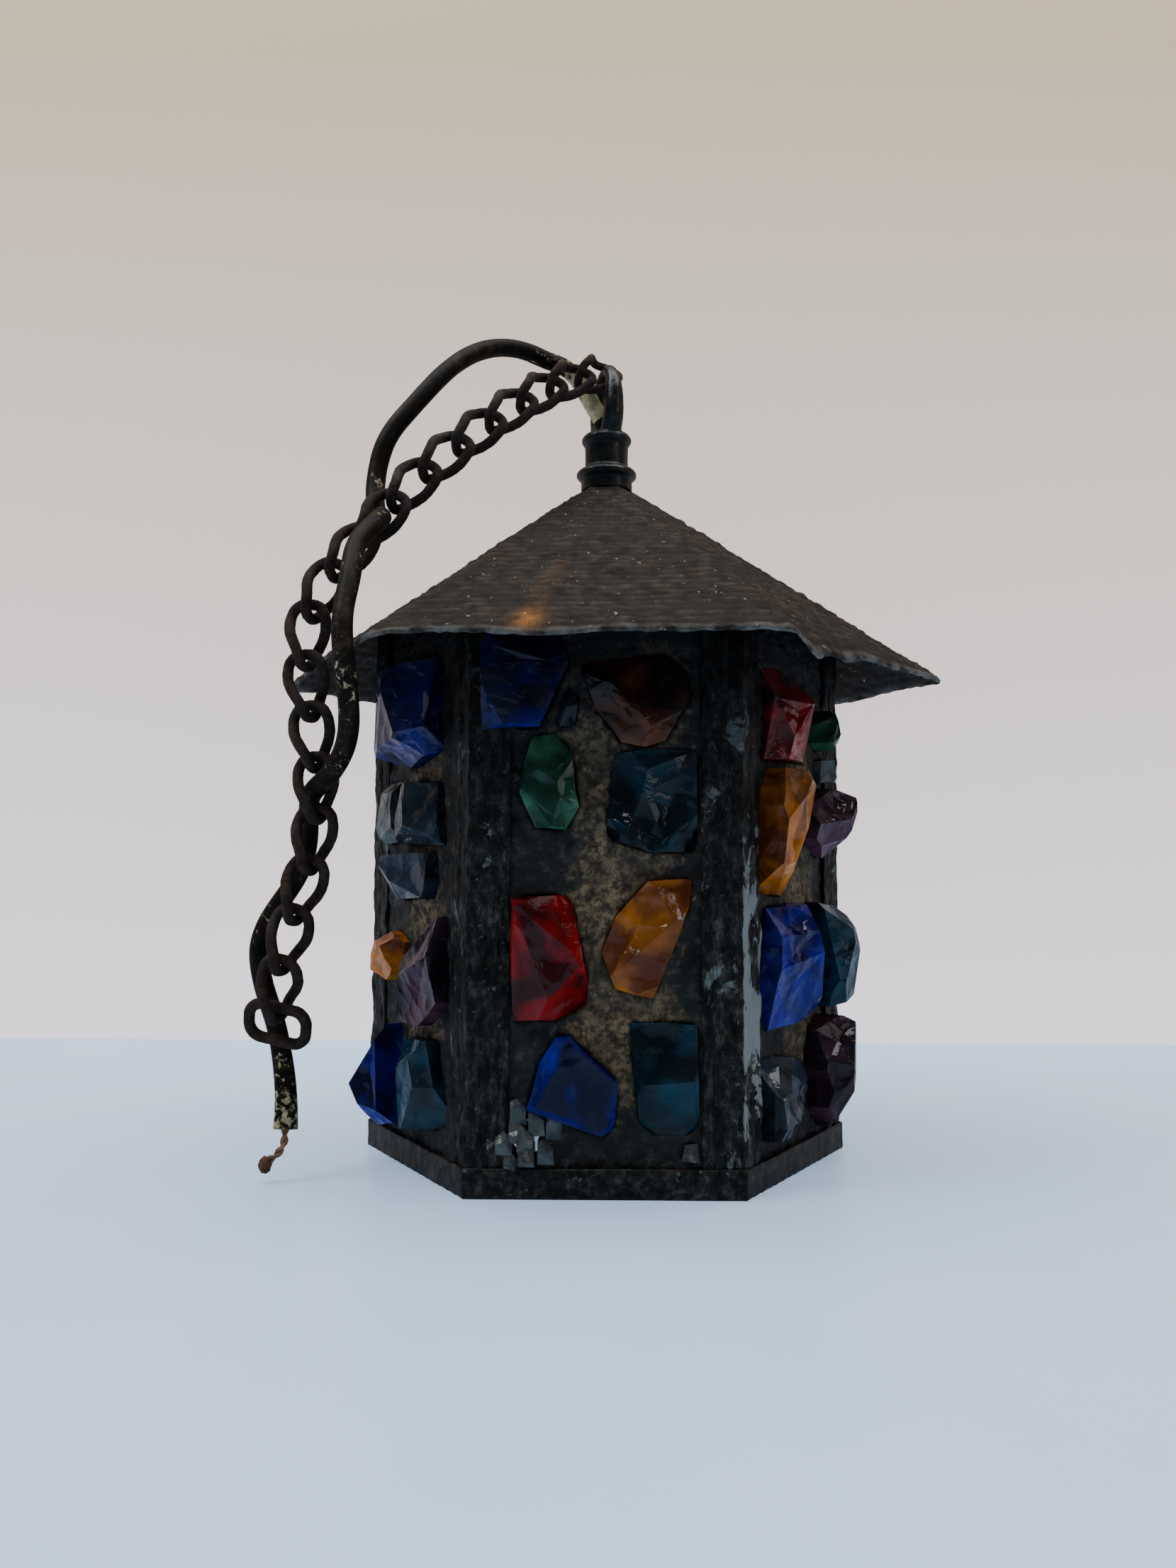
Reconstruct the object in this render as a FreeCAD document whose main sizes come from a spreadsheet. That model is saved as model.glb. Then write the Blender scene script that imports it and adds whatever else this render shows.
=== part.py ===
import FreeCAD, Part

import math
import os

import Sketcher
from FreeCAD import Placement, Rotation, Vector

# A six-sided hanging lantern: knapped glass chunks set in sand-mortar panels between
# sheet-metal corner posts, a hammered sheet roof clamped by a cast loop finial, a lamp
# holder inside, and a curb chain with the flex threaded through it.
# Origin: centre of the base hexagon, on the plane it stands on. +Z up, -Y is the front.

DIMENSIONS = [
    # body
    ("body_radius", 78.5, "circumradius of the body, over the corner posts"),
    ("sheet_metal", 1.2, "thickness of posts, rims and flange"),
    ("band_tall", 8.7, "height of the base band"),
    ("band_sheet", 0.8, "thickness of the base band"),
    ("band_gap", 0.1, "play between the band and the posts"),
    ("flange_wide", 9.0, "width of the flange the lantern stands on"),
    ("post_leg", 12.0, "width of each leg of a corner post"),
    ("post_top", 174.2, "height of the posts' upper ends"),
    ("panel_thick", 9.0, "thickness of a mortar panel"),
    ("panel_bottom", 1.4, "height of the panels' lower edge"),
    ("panel_top", 172.6, "height of the panels' upper edge"),
    ("panel_gap", 0.1, "play between panels, and between panels and posts"),
    ("top_rim_inner", 53.0, "circumradius of the top rim's opening"),
    ("top_rim_base", 172.7, "height of the top rim's underside"),
    # roof
    ("roof_radius", 113.3, "circumradius of the roof's lower edge"),
    ("roof_edge", 155.6, "height of the roof's lower edge"),
    ("roof_top", 222.0, "height of the roof's flat collar"),
    ("collar_radius", 9.0, "circumradius of the collar"),
    ("roof_drop", 1.24, "vertical thickness of the roof sheet"),
    ("roof_turn", -4.5, "how far the roof sits turned on the body, degrees"),
    ("tube_hole", 10.2, "clearance hole for the threaded tube"),
    # threaded tube, bridge and its fasteners
    ("tube_diameter", 9.9, "threaded tube, M10x1 over its crests"),
    ("cord_bore", 7.4, "bore of the tube and finial, for the flex"),
    ("tube_bottom", 156.5, "lower end of the threaded tube"),
    ("tube_top", 231.5, "upper end of the threaded tube"),
    ("bar_long", 134.0, "length of the bridge bar"),
    ("bar_wide", 20.0, "width of the bridge bar"),
    ("bar_thick", 2.0, "thickness of the bridge bar"),
    ("screw_place", 60.0, "distance of the bridge screws from the axis"),
    ("screw_hole", 4.3, "clearance hole of the M4 bridge screws"),
    # lamp holder and bulb
    ("holder_radius", 19.0, "outer radius of the lamp holder"),
    ("holder_wall", 2.0, "wall of the lamp holder"),
    ("holder_joint", 138.0, "height where the holder's cap and shell meet"),
    ("holder_bottom", 101.0, "lower end of the holder's shell"),
    ("bulb_cap_radius", 13.0, "outer radius of the E27 bulb cap"),
    ("bulb_cap_base", 103.5, "height where the bulb's glass enters its cap"),
    ("bulb_radius", 30.0, "radius of the bulb's globe"),
    ("bulb_centre", 66.0, "height of the centre of the bulb's globe"),
    ("bulb_wall", 0.8, "thickness of the bulb's glass"),
    # finial
    ("foot_radius", 8.8, "radius of the finial's foot"),
    ("lower_bead", 10.4, "radius of the lower bead"),
    ("upper_bead", 8.6, "radius of the upper bead"),
    ("neck_radius", 7.4, "radius of the neck between the beads"),
    ("eye_turn", -72.0, "direction of the eye's plane, degrees from +X"),
    ("eye_half_width", 8.2, "half width of the eye, on the rod's centre line"),
    ("eye_half_height", 12.0, "half height of the eye, on the rod's centre line"),
    ("eye_centre", 252.8, "height of the eye's centre"),
    ("eye_bar", 3.6, "radius of the eye's rod at its sides"),
    ("eye_crown", 2.0, "radius of the eye's rod at its top"),
    # chain
    ("link_wire", 3.2, "diameter of the chain wire"),
    ("link_inner_long", 15.4, "inner length of a link"),
    ("link_outer_wide", 13.6, "outer width of a link"),
    ("link_corner", 4.2, "bend radius of a link's corners, on the wire's centre"),
    ("link_play", 0.35, "gap between the wires of two links"),
    # flex
    ("cord_diameter", 6.0, "outer diameter of the flex"),
    ("sheath_bore", 4.2, "bore of the flex's sheath"),
    ("core_diameter", 2.4, "diameter of the twisted cores inside the sheath"),
]

COS30 = math.cos(math.radians(30))
FACE_ANGLES = {
    "front": -90,
    "front_right": -30,
    "back_right": 30,
    "back": 90,
    "back_left": 150,
    "front_left": -150,
}

doc = FreeCAD.newDocument("hanging_lantern")
sheet = doc.addObject("Spreadsheet::Sheet", "Dimensions")
for row, (alias, value, meaning) in enumerate(DIMENSIONS, start=1):
    sheet.set(f"A{row}", meaning)
    sheet.set(f"B{row}", str(value))
    sheet.setAlias(f"B{row}", alias)
doc.recompute()

parts = []


def dim(alias):
    """The value of one driving dimension."""
    return float(getattr(sheet, alias))


def linked(expression):
    """An expression with each driving dimension's name made a link to the sheet."""
    names = sorted((alias for alias, _, _ in DIMENSIONS), key=len, reverse=True)
    for number, name in enumerate(names):
        expression = expression.replace(name, f"<{number}>")
    for number, name in enumerate(names):
        expression = expression.replace(f"<{number}>", f"Dimensions.{name}")
    return expression


def bind(thing, **sizes):
    """Bind properties to the sheet. A double underscore in a name stands for a dot."""
    for name, expression in sizes.items():
        thing.setExpression(name.replace("__", "."), linked(str(expression)))


def part(thing, name):
    """Name a finished sub-part, so that it is written to its own file."""
    thing.Label = name
    parts.append(thing)
    return thing


def feature(name, shape):
    """A sub-part whose shape Part's own functions made."""
    thing = doc.addObject("Part::Feature", name + "_shape")
    thing.Shape = shape
    return thing


# ---------------------------------------------------------------- sketches and bodies


def new_body(name):
    return doc.addObject("PartDesign::Body", name + "_body")


def sketch_on(body, name, height="0", plane="XY_Plane"):
    """An empty sketch on one of the body's own origin planes, raised by height."""
    sketch = body.newObject("Sketcher::SketchObject", name)
    base = next(f for f in body.Origin.OriginFeatures if f.Role == plane)
    sketch.AttachmentSupport = [(base, "")]
    sketch.MapMode = "FlatFace"
    bind(sketch, AttachmentOffset__Base__z=height)
    return sketch


def constrain(sketch, kind, *places, value=None):
    """Add a constraint. With a value, a dimension bound to that expression."""
    if value is None:
        return sketch.addConstraint(Sketcher.Constraint(kind, *places))
    expression = linked(value)
    number = float(sketch.evalExpression(expression))
    index = sketch.addConstraint(Sketcher.Constraint(kind, *places, number))
    sketch.setExpression(f"Constraints[{index}]", expression)
    return index


def hexagon(sketch, radius):
    """A regular hexagon around the sketch's origin, with one corner on its X axis."""
    start = float(sketch.evalExpression(linked(radius)))
    corners = [
        Vector(start * math.cos(k * math.pi / 3), start * math.sin(k * math.pi / 3), 0)
        for k in range(6)
    ]
    sides = [
        sketch.addGeometry(Part.LineSegment(corners[k], corners[(k + 1) % 6]), False)
        for k in range(6)
    ]
    ring = sketch.addGeometry(Part.Circle(Vector(0, 0, 0), Vector(0, 0, 1), start), True)
    constrain(sketch, "Coincident", ring, 3, -1, 1)
    for k, side in enumerate(sides):
        constrain(sketch, "Coincident", side, 2, sides[(k + 1) % 6], 1)
        constrain(sketch, "PointOnObject", side, 1, ring)
    for side in sides[1:]:
        constrain(sketch, "Equal", sides[0], side)
    constrain(sketch, "PointOnObject", sides[0], 1, -1)
    constrain(sketch, "Radius", ring, value=radius)


def circle(sketch, radius, x="0", y="0"):
    """A circle with its centre held at (x, y)."""
    at = Vector(*(float(sketch.evalExpression(linked(c))) for c in (x, y)), 0)
    size = float(sketch.evalExpression(linked(radius)))
    ring = sketch.addGeometry(Part.Circle(at, Vector(0, 0, 1), size), False)
    constrain(sketch, "DistanceX", -1, 1, ring, 3, value=x)
    constrain(sketch, "DistanceY", -1, 1, ring, 3, value=y)
    constrain(sketch, "Radius", ring, value=radius)


def polygon(sketch, corners):
    """A closed outline through corners, each an (x, y) pair of expressions."""
    at = [
        Vector(*(float(sketch.evalExpression(linked(c))) for c in corner), 0)
        for corner in corners
    ]
    count = len(corners)
    sides = [
        sketch.addGeometry(Part.LineSegment(at[k], at[(k + 1) % count]), False)
        for k in range(count)
    ]
    for k, (x, y) in enumerate(corners):
        constrain(sketch, "Coincident", sides[k], 2, sides[(k + 1) % count], 1)
        constrain(sketch, "DistanceX", -1, 1, sides[k], 1, value=x)
        constrain(sketch, "DistanceY", -1, 1, sides[k], 1, value=y)


def pad(body, name, sketch, length):
    """Extrude a sketch upwards."""
    made = body.newObject("PartDesign::Pad", name)
    made.Profile = sketch
    bind(made, Length=length)
    doc.recompute()
    return made


def turned(thing, degrees):
    """Turn a piece about the lantern's axis."""
    thing.Placement = Placement(Vector(0, 0, 0), Rotation(Vector(0, 0, 1), degrees))
    return thing


# ---------------------------------------------------------------- primitives


def primitive(kind, name, z="0", x="0", **sizes):
    """A Part primitive with its sizes and its place bound to the sheet."""
    made = doc.addObject("Part::" + kind, name)
    bind(made, Placement__Base__z=z, Placement__Base__x=x, **sizes)
    return made


def joined(name, pieces):
    made = doc.addObject("Part::MultiFuse", name)
    made.Shapes = pieces
    return made


def cut(name, base, tool):
    made = doc.addObject("Part::Cut", name)
    made.Base = base
    made.Tool = tool
    return made


def group(name, pieces):
    """Identical pieces that stay separate solids of one sub-part."""
    made = doc.addObject("Part::Compound", name + "_group")
    made.Links = pieces
    return part(made, name)


# ---------------------------------------------------------------- frame of the body


def base_rim():
    """The band round the foot, with the flange turned in at its lower edge."""
    body = new_body("base_rim")
    flange = sketch_on(body, "flange_outline")
    hexagon(flange, "body_radius + band_gap + band_sheet / cos(30)")
    hexagon(flange, "body_radius - flange_wide / cos(30)")
    pad(body, "flange", flange, "sheet_metal")
    band = sketch_on(body, "band_outline")
    hexagon(band, "body_radius + band_gap + band_sheet / cos(30)")
    hexagon(band, "body_radius + band_gap")
    pad(body, "band", band, "band_tall")
    return part(body, "base_rim")


def corner_post(number):
    """A strip bent to the corner of the hexagon, standing on the flange."""
    body = new_body(f"corner_post_{number}")
    outline = sketch_on(body, f"post_outline_{number}", "sheet_metal + band_gap")
    leg_x, leg_y = "body_radius - post_leg / 2", "post_leg * sin(60)"
    inner_x, inner_y = f"{leg_x} - sheet_metal * cos(30)", f"{leg_y} - sheet_metal / 2"
    polygon(
        outline,
        [
            ("body_radius", "0"),
            (leg_x, leg_y),
            (inner_x, inner_y),
            ("body_radius - sheet_metal / cos(30)", "0"),
            (inner_x, f"-({inner_y})"),
            (leg_x, f"-({leg_y})"),
        ],
    )
    pad(body, f"post_{number}", outline, "post_top - sheet_metal - band_gap")
    return part(turned(body, 60 * (number - 1)), f"corner_post_{number}")


def top_rim():
    """The flat rim on top of the panels, which carries the bridge bar."""
    body = new_body("top_rim")
    outline = sketch_on(body, "top_rim_outline", "top_rim_base")
    hexagon(outline, "body_radius - (sheet_metal + 2 * panel_gap) / cos(30)")
    hexagon(outline, "top_rim_inner")
    for side in ("screw_place", "-screw_place"):
        circle(outline, "screw_hole / 2", side)
    pad(body, "top_rim_plate", outline, "sheet_metal")
    return part(body, "top_rim")


# ---------------------------------------------------------------- glass and mortar

# Each chunk: colour, how far it stands proud of the mortar, and its outline on the
# panel as (across, up) from the panel's middle line and the base plane, in mm.
FRONT_CHUNKS = [
    ("cobalt", 7, [(-26.5, 160), (-13, 160), (-11, 151), (-19, 133), (-26, 132)]),
    ("orange", 8, [(-7, 152), (6, 153), (17, 155), (23, 149), (24, 141), (17, 129),
                   (11, 127), (4.5, 128.5), (-3, 138)]),
    ("smoke", 3, [(-10.5, 145), (-8, 140), (-9, 133.5), (-15, 133), (-13, 139)]),
    ("green", 9, [(-21, 130), (-15, 131), (-9.5, 125), (-7.5, 110), (-11.5, 103.5),
                  (-20, 104), (-24.5, 114), (-23, 123)]),
    ("teal", 7, [(2.5, 125), (11, 126.5), (26, 126), (26.5, 97), (13, 97), (0, 101)]),
    ("red", 8, [(-26.5, 84), (-10, 85), (-5, 60.5), (-5, 53), (-14, 49.5), (-26, 49.5)]),
    ("amber", 8, [(12, 89), (24.5, 89.5), (23.5, 82), (13.5, 56), (3, 58.5), (-1, 69),
                  (3, 79)]),
    ("cobalt", 8, [(-14, 45), (-10, 45.5), (3.5, 32.5), (2.5, 19.5), (-1, 17.5),
                   (-22, 25), (-18.5, 38)]),
    ("teal", 6, [(7, 49), (26, 48.5), (26.5, 22), (24, 17.5), (13.5, 18), (9.5, 22),
                 (8, 38)]),
    ("clear", 5, [(-26.5, 10.5), (-18, 10.5), (-18.5, 18.5), (-23, 23), (-26.5, 22)]),
    ("clear", 3, [(21.5, 10.5), (26.5, 10.5), (26, 15.5), (22.5, 15)]),
]
LEFT_CHUNKS = [
    ("cobalt", 9, [(-22, 156), (18, 156), (19, 128), (-3, 124), (-25, 131)]),
    ("clear", 4, [(-26, 121), (-14, 120), (-14, 101), (-26, 100)]),
    ("smoke", 7, [(-7, 120), (19, 118), (22, 99), (-11, 100)]),
    ("smoke", 8, [(-20, 96), (16, 97), (14, 83.5), (-24, 82)]),
    ("amber", 6, [(-26, 64), (-16, 72), (-7, 69), (-7, 62), (-17, 56.5), (-26, 59)]),
    ("purple", 7, [(-3, 61), (22, 78), (24, 53), (12, 45), (-4, 46)]),
    ("cobalt", 12, [(-26, 37), (-13, 43), (-8, 13), (-20, 10.5), (-26, 15)]),
    ("teal", 7, [(-5, 39), (19, 41.5), (25, 17), (-2, 12.5)]),
]
RIGHT_CHUNKS = [
    ("red", 7, [(-24, 152), (-13, 153.5), (-2, 147), (8, 134), (12, 125.5), (-25, 125)]),
    ("green", 9, [(12, 139), (20, 144), (25, 141), (22, 131), (14, 133)]),
    ("clear", 6, [(18, 127.5), (26, 128.5), (26, 121), (19, 120.5)]),
    ("amber", 8, [(-20, 122.5), (-2, 123), (0, 117), (-3, 103), (-8, 84), (-26, 85),
                  (-26, 111)]),
    ("purple", 10, [(5, 112), (18, 118.5), (26, 116), (20, 96), (8, 102)]),
    ("cobalt", 8, [(-24, 81), (-5, 82), (4, 75), (10, 62), (11, 51), (-2, 47),
                   (-25, 45.5), (-26, 60)]),
    ("teal", 11, [(9, 82), (20, 81), (26.5, 76), (26.5, 52), (16, 49), (14, 58)]),
    ("purple", 11, [(10, 42), (20, 46), (26.5, 42), (26.5, 12), (20, 10.5), (11, 18),
                    (8, 30)]),
    ("smoke", 6, [(-26, 38), (2, 34), (4, 12), (-26, 14)]),
]
OTHER_COLOUR = {
    "cobalt": "amber",
    "orange": "green",
    "smoke": "clear",
    "green": "red",
    "teal": "purple",
    "red": "cobalt",
    "amber": "teal",
    "purple": "orange",
    "clear": "smoke",
}
INNER_SCALE = 0.88
INNER_PROUD = 1.5
CROWN_SCALE = 0.7


def mirrored(chunks):
    """The same layout seen in a mirror, in other colours, for the opposite panel."""
    return [
        (OTHER_COLOUR[colour], proud, [(-x, z) for x, z in reversed(outline)])
        for colour, proud, outline in chunks
    ]


def chunk_solid(outline, proud):
    """A faceted chunk through the front panel: a back, the widest girdle, a crown."""
    mortar_face = dim("body_radius") * COS30 - dim("sheet_metal") - dim("panel_gap")
    middle_x = sum(x for x, _ in outline) / len(outline)
    middle_z = sum(z for _, z in outline) / len(outline)
    levels = [
        (mortar_face - dim("panel_thick") - INNER_PROUD, INNER_SCALE),
        (mortar_face, 1.0),
        (mortar_face + proud, CROWN_SCALE),
    ]
    rings = [
        [
            Vector(middle_x + (x - middle_x) * scale, -out, middle_z + (z - middle_z) * scale)
            for x, z in outline
        ]
        for out, scale in levels
    ]
    facets = [rings[0], rings[-1]]
    for low, high in zip(rings, rings[1:]):
        for k in range(len(outline)):
            after = (k + 1) % len(outline)
            facets.append([low[k], low[after], high[after], high[k]])
    faces = [Part.Face(Part.makePolygon(facet + facet[:1])) for facet in facets]
    solid = Part.Solid(Part.makeShell(faces))
    if solid.Volume < 0:
        solid.reverse()
    return solid


PANEL_CHUNKS = {
    "front": FRONT_CHUNKS,
    "front_left": LEFT_CHUNKS,
    "front_right": RIGHT_CHUNKS,
    "back": mirrored(FRONT_CHUNKS),
    "back_right": mirrored(LEFT_CHUNKS),
    "back_left": mirrored(RIGHT_CHUNKS),
}


def panels_and_glass():
    """The six mortar panels, each cast round its own chunks, and the chunks by colour."""
    by_colour = {}
    for side, angle in FACE_ANGLES.items():
        turn = angle + 90
        chunks = []
        for colour, proud, outline in PANEL_CHUNKS[side]:
            chunk = chunk_solid(outline, proud)
            chunk.rotate(Vector(0, 0, 0), Vector(0, 0, 1), turn)
            chunks.append(chunk)
            by_colour.setdefault(colour, []).append(chunk)
        body = new_body("slab_" + side)
        outline = sketch_on(body, "slab_outline_" + side, "panel_bottom")
        outer = "body_radius * cos(30) - sheet_metal - panel_gap"
        inner = f"({outer} - panel_thick)"
        outer_half = f"({outer}) * tan(30) - panel_gap"
        inner_half = f"{inner} * tan(30) - panel_gap"
        polygon(
            outline,
            [
                (f"-({outer_half})", f"-({outer})"),
                (outer_half, f"-({outer})"),
                (inner_half, f"-{inner}"),
                (f"-({inner_half})", f"-{inner}"),
            ],
        )
        pad(body, "slab_pad_" + side, outline, "panel_top - panel_bottom")
        turned(body, turn)
        holes = feature("chunk_holes_" + side, Part.makeCompound(chunks))
        part(cut("cast_panel_" + side, body, holes), "panel_" + side)
    for colour, chunks in by_colour.items():
        shape = Part.makeCompound(chunks)
        part(feature("glass_" + colour, shape), "glass_" + colour)


# ---------------------------------------------------------------- roof


def roof():
    """The folded sheet roof: six straight facets down from a small flat collar."""
    body = new_body("roof")
    slope = "((roof_top - roof_edge) / (roof_radius - collar_radius))"
    lower = "roof_drop * cos(30)"
    shells = [
        ("AdditiveLoft", "roof_outside", "roof_radius", "roof_edge", "roof_top"),
        (
            "SubtractiveLoft",
            "roof_inside",
            f"roof_radius - {lower} / {slope}",
            "roof_edge",
            f"roof_top - {lower}",
        ),
    ]
    for kind, name, radius, bottom, top in shells:
        wide = sketch_on(body, name + "_edge", bottom)
        hexagon(wide, radius)
        narrow = sketch_on(body, name + "_collar", top)
        hexagon(narrow, "collar_radius")
        loft = body.newObject("PartDesign::" + kind, name)
        loft.Profile = wide
        loft.Sections = [narrow]
        loft.Ruled = True
        doc.recompute()
    hole = sketch_on(body, "collar_hole", "roof_top")
    circle(hole, "tube_hole / 2")
    bore = body.newObject("PartDesign::Pocket", "collar_bore")
    bore.Profile = hole
    bind(bore, Length="roof_drop * 3")
    doc.recompute()
    bind(body, Placement__Rotation__Angle="roof_turn")
    return part(body, "roof")


# ---------------------------------------------------------------- finial


def eye_rod():
    """The eye's oval rod, slimmer at its crown, made as two halves that meet."""
    half_width, half_height = dim("eye_half_width"), dim("eye_half_height")
    bar, crown = dim("eye_bar"), dim("eye_crown")
    steps = 9
    halves = []
    for side in (-1, 1):
        sections = []
        for k in range(steps + 1):
            angle = math.pi * k / steps
            centre = Vector(
                side * half_width * math.sin(angle), 0, -half_height * math.cos(angle)
            )
            along = Vector(
                side * half_width * math.cos(angle), 0, half_height * math.sin(angle)
            )
            height_share = (1 - math.cos(angle)) / 2
            radius = bar + (crown - bar) * height_share**2
            ring = Part.Circle(centre, along, radius)
            sections.append(Part.Wire(ring.toShape()))
        halves.append(Part.makeLoft(sections, True, False))
    rod = halves[0].fuse(halves[1])
    rod.rotate(Vector(0, 0, 0), Vector(0, 0, 1), dim("eye_turn"))
    rod.translate(Vector(0, 0, dim("eye_centre")))
    return feature("eye_rod", rod)


def loop_finial():
    """The cast finial: foot, two beads and the eye, drilled through for the flex."""
    beads = [
        primitive("Cylinder", "foot", "roof_top", Radius="foot_radius", Height="6"),
        primitive(
            "Ellipsoid", "lower_bead_ball", "roof_top + 5.8",
            Radius1="3.6", Radius2="lower_bead", Radius3="lower_bead",
        ),
        primitive("Cylinder", "neck", "roof_top + 5", Radius="neck_radius", Height="13"),
        primitive(
            "Ellipsoid", "upper_bead_ball", "roof_top + 18",
            Radius1="3.8", Radius2="upper_bead", Radius3="upper_bead",
        ),
        eye_rod(),
    ]
    solid = joined("finial_casting", beads)
    socket = primitive(
        "Cylinder", "finial_socket", "roof_top - 1",
        Radius="tube_diameter / 2 + 0.05", Height="tube_top - roof_top + 1",
    )
    bore = primitive(
        "Cylinder", "finial_bore", "roof_top", Radius="cord_bore / 2", Height="25"
    )
    tools = joined("finial_drilling", [socket, bore])
    return part(cut("loop_finial_cut", solid, tools), "loop_finial")


# ---------------------------------------------------------------- tube and bridge


def tube_ring(name, label, z, height, outer, inner):
    """A plain ring or tube about the lantern's axis."""
    outside = primitive("Cylinder", name + "_outside", z, Radius=outer, Height=height)
    inside = primitive("Cylinder", name + "_inside", z, Radius=inner, Height=height)
    return part(cut(name + "_cut", outside, inside), label)


def hex_nut(name, z, x, across_flats, thick, hole):
    """A plain hexagon nut with its thread drawn as a bore."""
    block = primitive(
        "Prism", name + "_block", z, x,
        Circumradius=f"{across_flats} / 2 / cos(30)", Height=thick,
    )
    block.Polygon = 6
    bore = primitive("Cylinder", name + "_bore", z, x, Radius=hole, Height=thick)
    return cut(name, block, bore)


def bridge():
    """The bar across the top rim, its screws and nuts, and the nuts on the tube."""
    body = new_body("bridge_bar")
    outline = sketch_on(body, "bar_outline", "top_rim_base + sheet_metal")
    across, along = "bar_wide / 2", "bar_long / 2"
    polygon(
        outline,
        [
            (f"-({along})", f"-({across})"),
            (along, f"-({across})"),
            (along, across),
            (f"-({along})", across),
        ],
    )
    circle(outline, "tube_hole / 2")
    for side in ("screw_place", "-screw_place"):
        circle(outline, "screw_hole / 2", side)
    pad(body, "bar_plate", outline, "bar_thick")
    part(body, "bridge_bar")

    bar_top = "top_rim_base + sheet_metal + bar_thick"
    tube_ring("bar_washer", "bar_washer", bar_top, "1.5", "11", "tube_hole / 2")
    nut_places = [f"{bar_top} + 1.5", "top_rim_base + sheet_metal - 4"]
    group(
        "tube_nuts",
        [
            hex_nut(f"tube_nut_{k}", z, "0", "14", "4", "tube_diameter / 2 + 0.05")
            for k, z in enumerate(nut_places)
        ],
    )
    screws, nuts = [], []
    for k, x in enumerate(("screw_place", "-screw_place")):
        head = primitive("Cylinder", f"screw_head_{k}", bar_top, x, Radius="4", Height="2.6")
        shank = primitive(
            "Cylinder", f"screw_shank_{k}", f"{bar_top} - 9", x, Radius="2", Height="9.5"
        )
        screws.append(joined(f"bridge_screw_{k}", [head, shank]))
        nuts.append(hex_nut(f"bridge_nut_{k}", "top_rim_base - 3.2", x, "7", "3.2", "2.05"))
    group("bridge_screws", screws)
    group("bridge_nuts", nuts)


def threaded_tube():
    return tube_ring(
        "threaded_tube", "threaded_tube", "tube_bottom", "tube_top - tube_bottom",
        "tube_diameter / 2", "cord_bore / 2",
    )


# ---------------------------------------------------------------- lamp holder and bulb


def holder_cap():
    """The holder's upper cap, screwed on the tube's lower end."""
    outer = [
        primitive(
            "Cylinder", "cap_skirt", "holder_joint", Radius="holder_radius", Height="12"
        ),
        primitive(
            "Cone", "cap_shoulder", "holder_joint + 12",
            Radius1="holder_radius", Radius2="9", Height="10",
        ),
    ]
    inner = [
        primitive(
            "Cylinder", "cap_room", "holder_joint",
            Radius="holder_radius - holder_wall", Height="12",
        ),
        primitive(
            "Cone", "cap_room_top", "holder_joint + 12",
            Radius1="holder_radius - holder_wall", Radius2="9.5", Height="5",
        ),
        primitive(
            "Cylinder", "cap_thread", "holder_joint + 12",
            Radius="tube_diameter / 2 + 0.05", Height="12",
        ),
    ]
    solid, room = joined("cap_solid", outer), joined("cap_hollow", inner)
    return part(cut("holder_cap_cut", solid, room), "holder_cap")


def holder_insides():
    """The shell, the ceramic insert with its contacts, and the two lamp wires."""
    tube_ring(
        "holder_shell", "holder_shell", "holder_bottom", "holder_joint - holder_bottom",
        "holder_radius", "holder_radius - holder_wall",
    )
    disc = primitive(
        "Cylinder", "insert_disc", "holder_joint - 6",
        Radius="holder_radius - holder_wall - 0.2", Height="7",
    )
    wire_holes = joined(
        "insert_holes",
        [
            primitive("Cylinder", f"wire_hole_{k}", "holder_joint - 7", x, Radius="1.2",
                      Height="9")
            for k, x in enumerate(("7", "-7"))
        ],
    )
    part(cut("holder_insert_cut", disc, wire_holes), "holder_insert")
    tongues = []
    for k, (x, long) in enumerate((("-5", "6"), ("9", "5"))):
        tongue = primitive(
            "Box", f"contact_{k}", "holder_joint - 6.8", x, Length=long, Width="4",
            Height="0.6",
        )
        bind(tongue, Placement__Base__y="-2")
        tongues.append(tongue)
    group("contact_springs", tongues)
    group(
        "lamp_wires",
        [
            primitive("Cylinder", f"lamp_wire_{k}", "holder_joint - 5.5", x, Radius="0.9",
                      Height="14")
            for k, x in enumerate(("7", "-7"))
        ],
    )


def bulb():
    """A plain globe bulb: brass cap with its tip contact, and the hollow glass."""
    cap = [
        primitive(
            "Cylinder", "bulb_cap_sleeve", "bulb_cap_base", Radius="bulb_cap_radius",
            Height="22",
        ),
        primitive(
            "Cone", "bulb_cap_tip", "bulb_cap_base + 22", Radius1="bulb_cap_radius",
            Radius2="5", Height="5",
        ),
    ]
    part(joined("bulb_cap_fuse", cap), "bulb_cap")

    def globe(name, shrink):
        ball = primitive(
            "Sphere", name + "_ball", "bulb_centre", Radius=f"bulb_radius - {shrink}"
        )
        neck = primitive(
            "Cone", name + "_neck", "bulb_centre + 20",
            Radius1=f"bulb_radius * 0.745 - {shrink}",
            Radius2=f"bulb_cap_radius - {shrink}",
            Height="bulb_cap_base - bulb_centre - 20",
        )
        return joined(name, [ball, neck])

    glass = cut("bulb_glass_cut", globe("bulb_outside", "0"), globe("bulb_inside", "bulb_wall"))
    part(glass, "bulb_glass")


# ---------------------------------------------------------------- round strands

STRAND_SIDES = 8


def round_sections(stations, radius):
    """The corners of a strand's sections. A station is a centre and two directions."""
    return [
        centre + (across * math.cos(angle) + up * math.sin(angle)) * radius
        for centre, across, up in stations
        for angle in (2 * math.pi * side / STRAND_SIDES for side in range(STRAND_SIDES))
    ]


def wall(first, second):
    """The flat triangles between two rings, each given by its first corner's number."""
    triangles = []
    for side in range(STRAND_SIDES):
        after = (side + 1) % STRAND_SIDES
        triangles.append((first + side, first + after, second + after))
        triangles.append((first + side, second + after, second + side))
    return triangles


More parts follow.
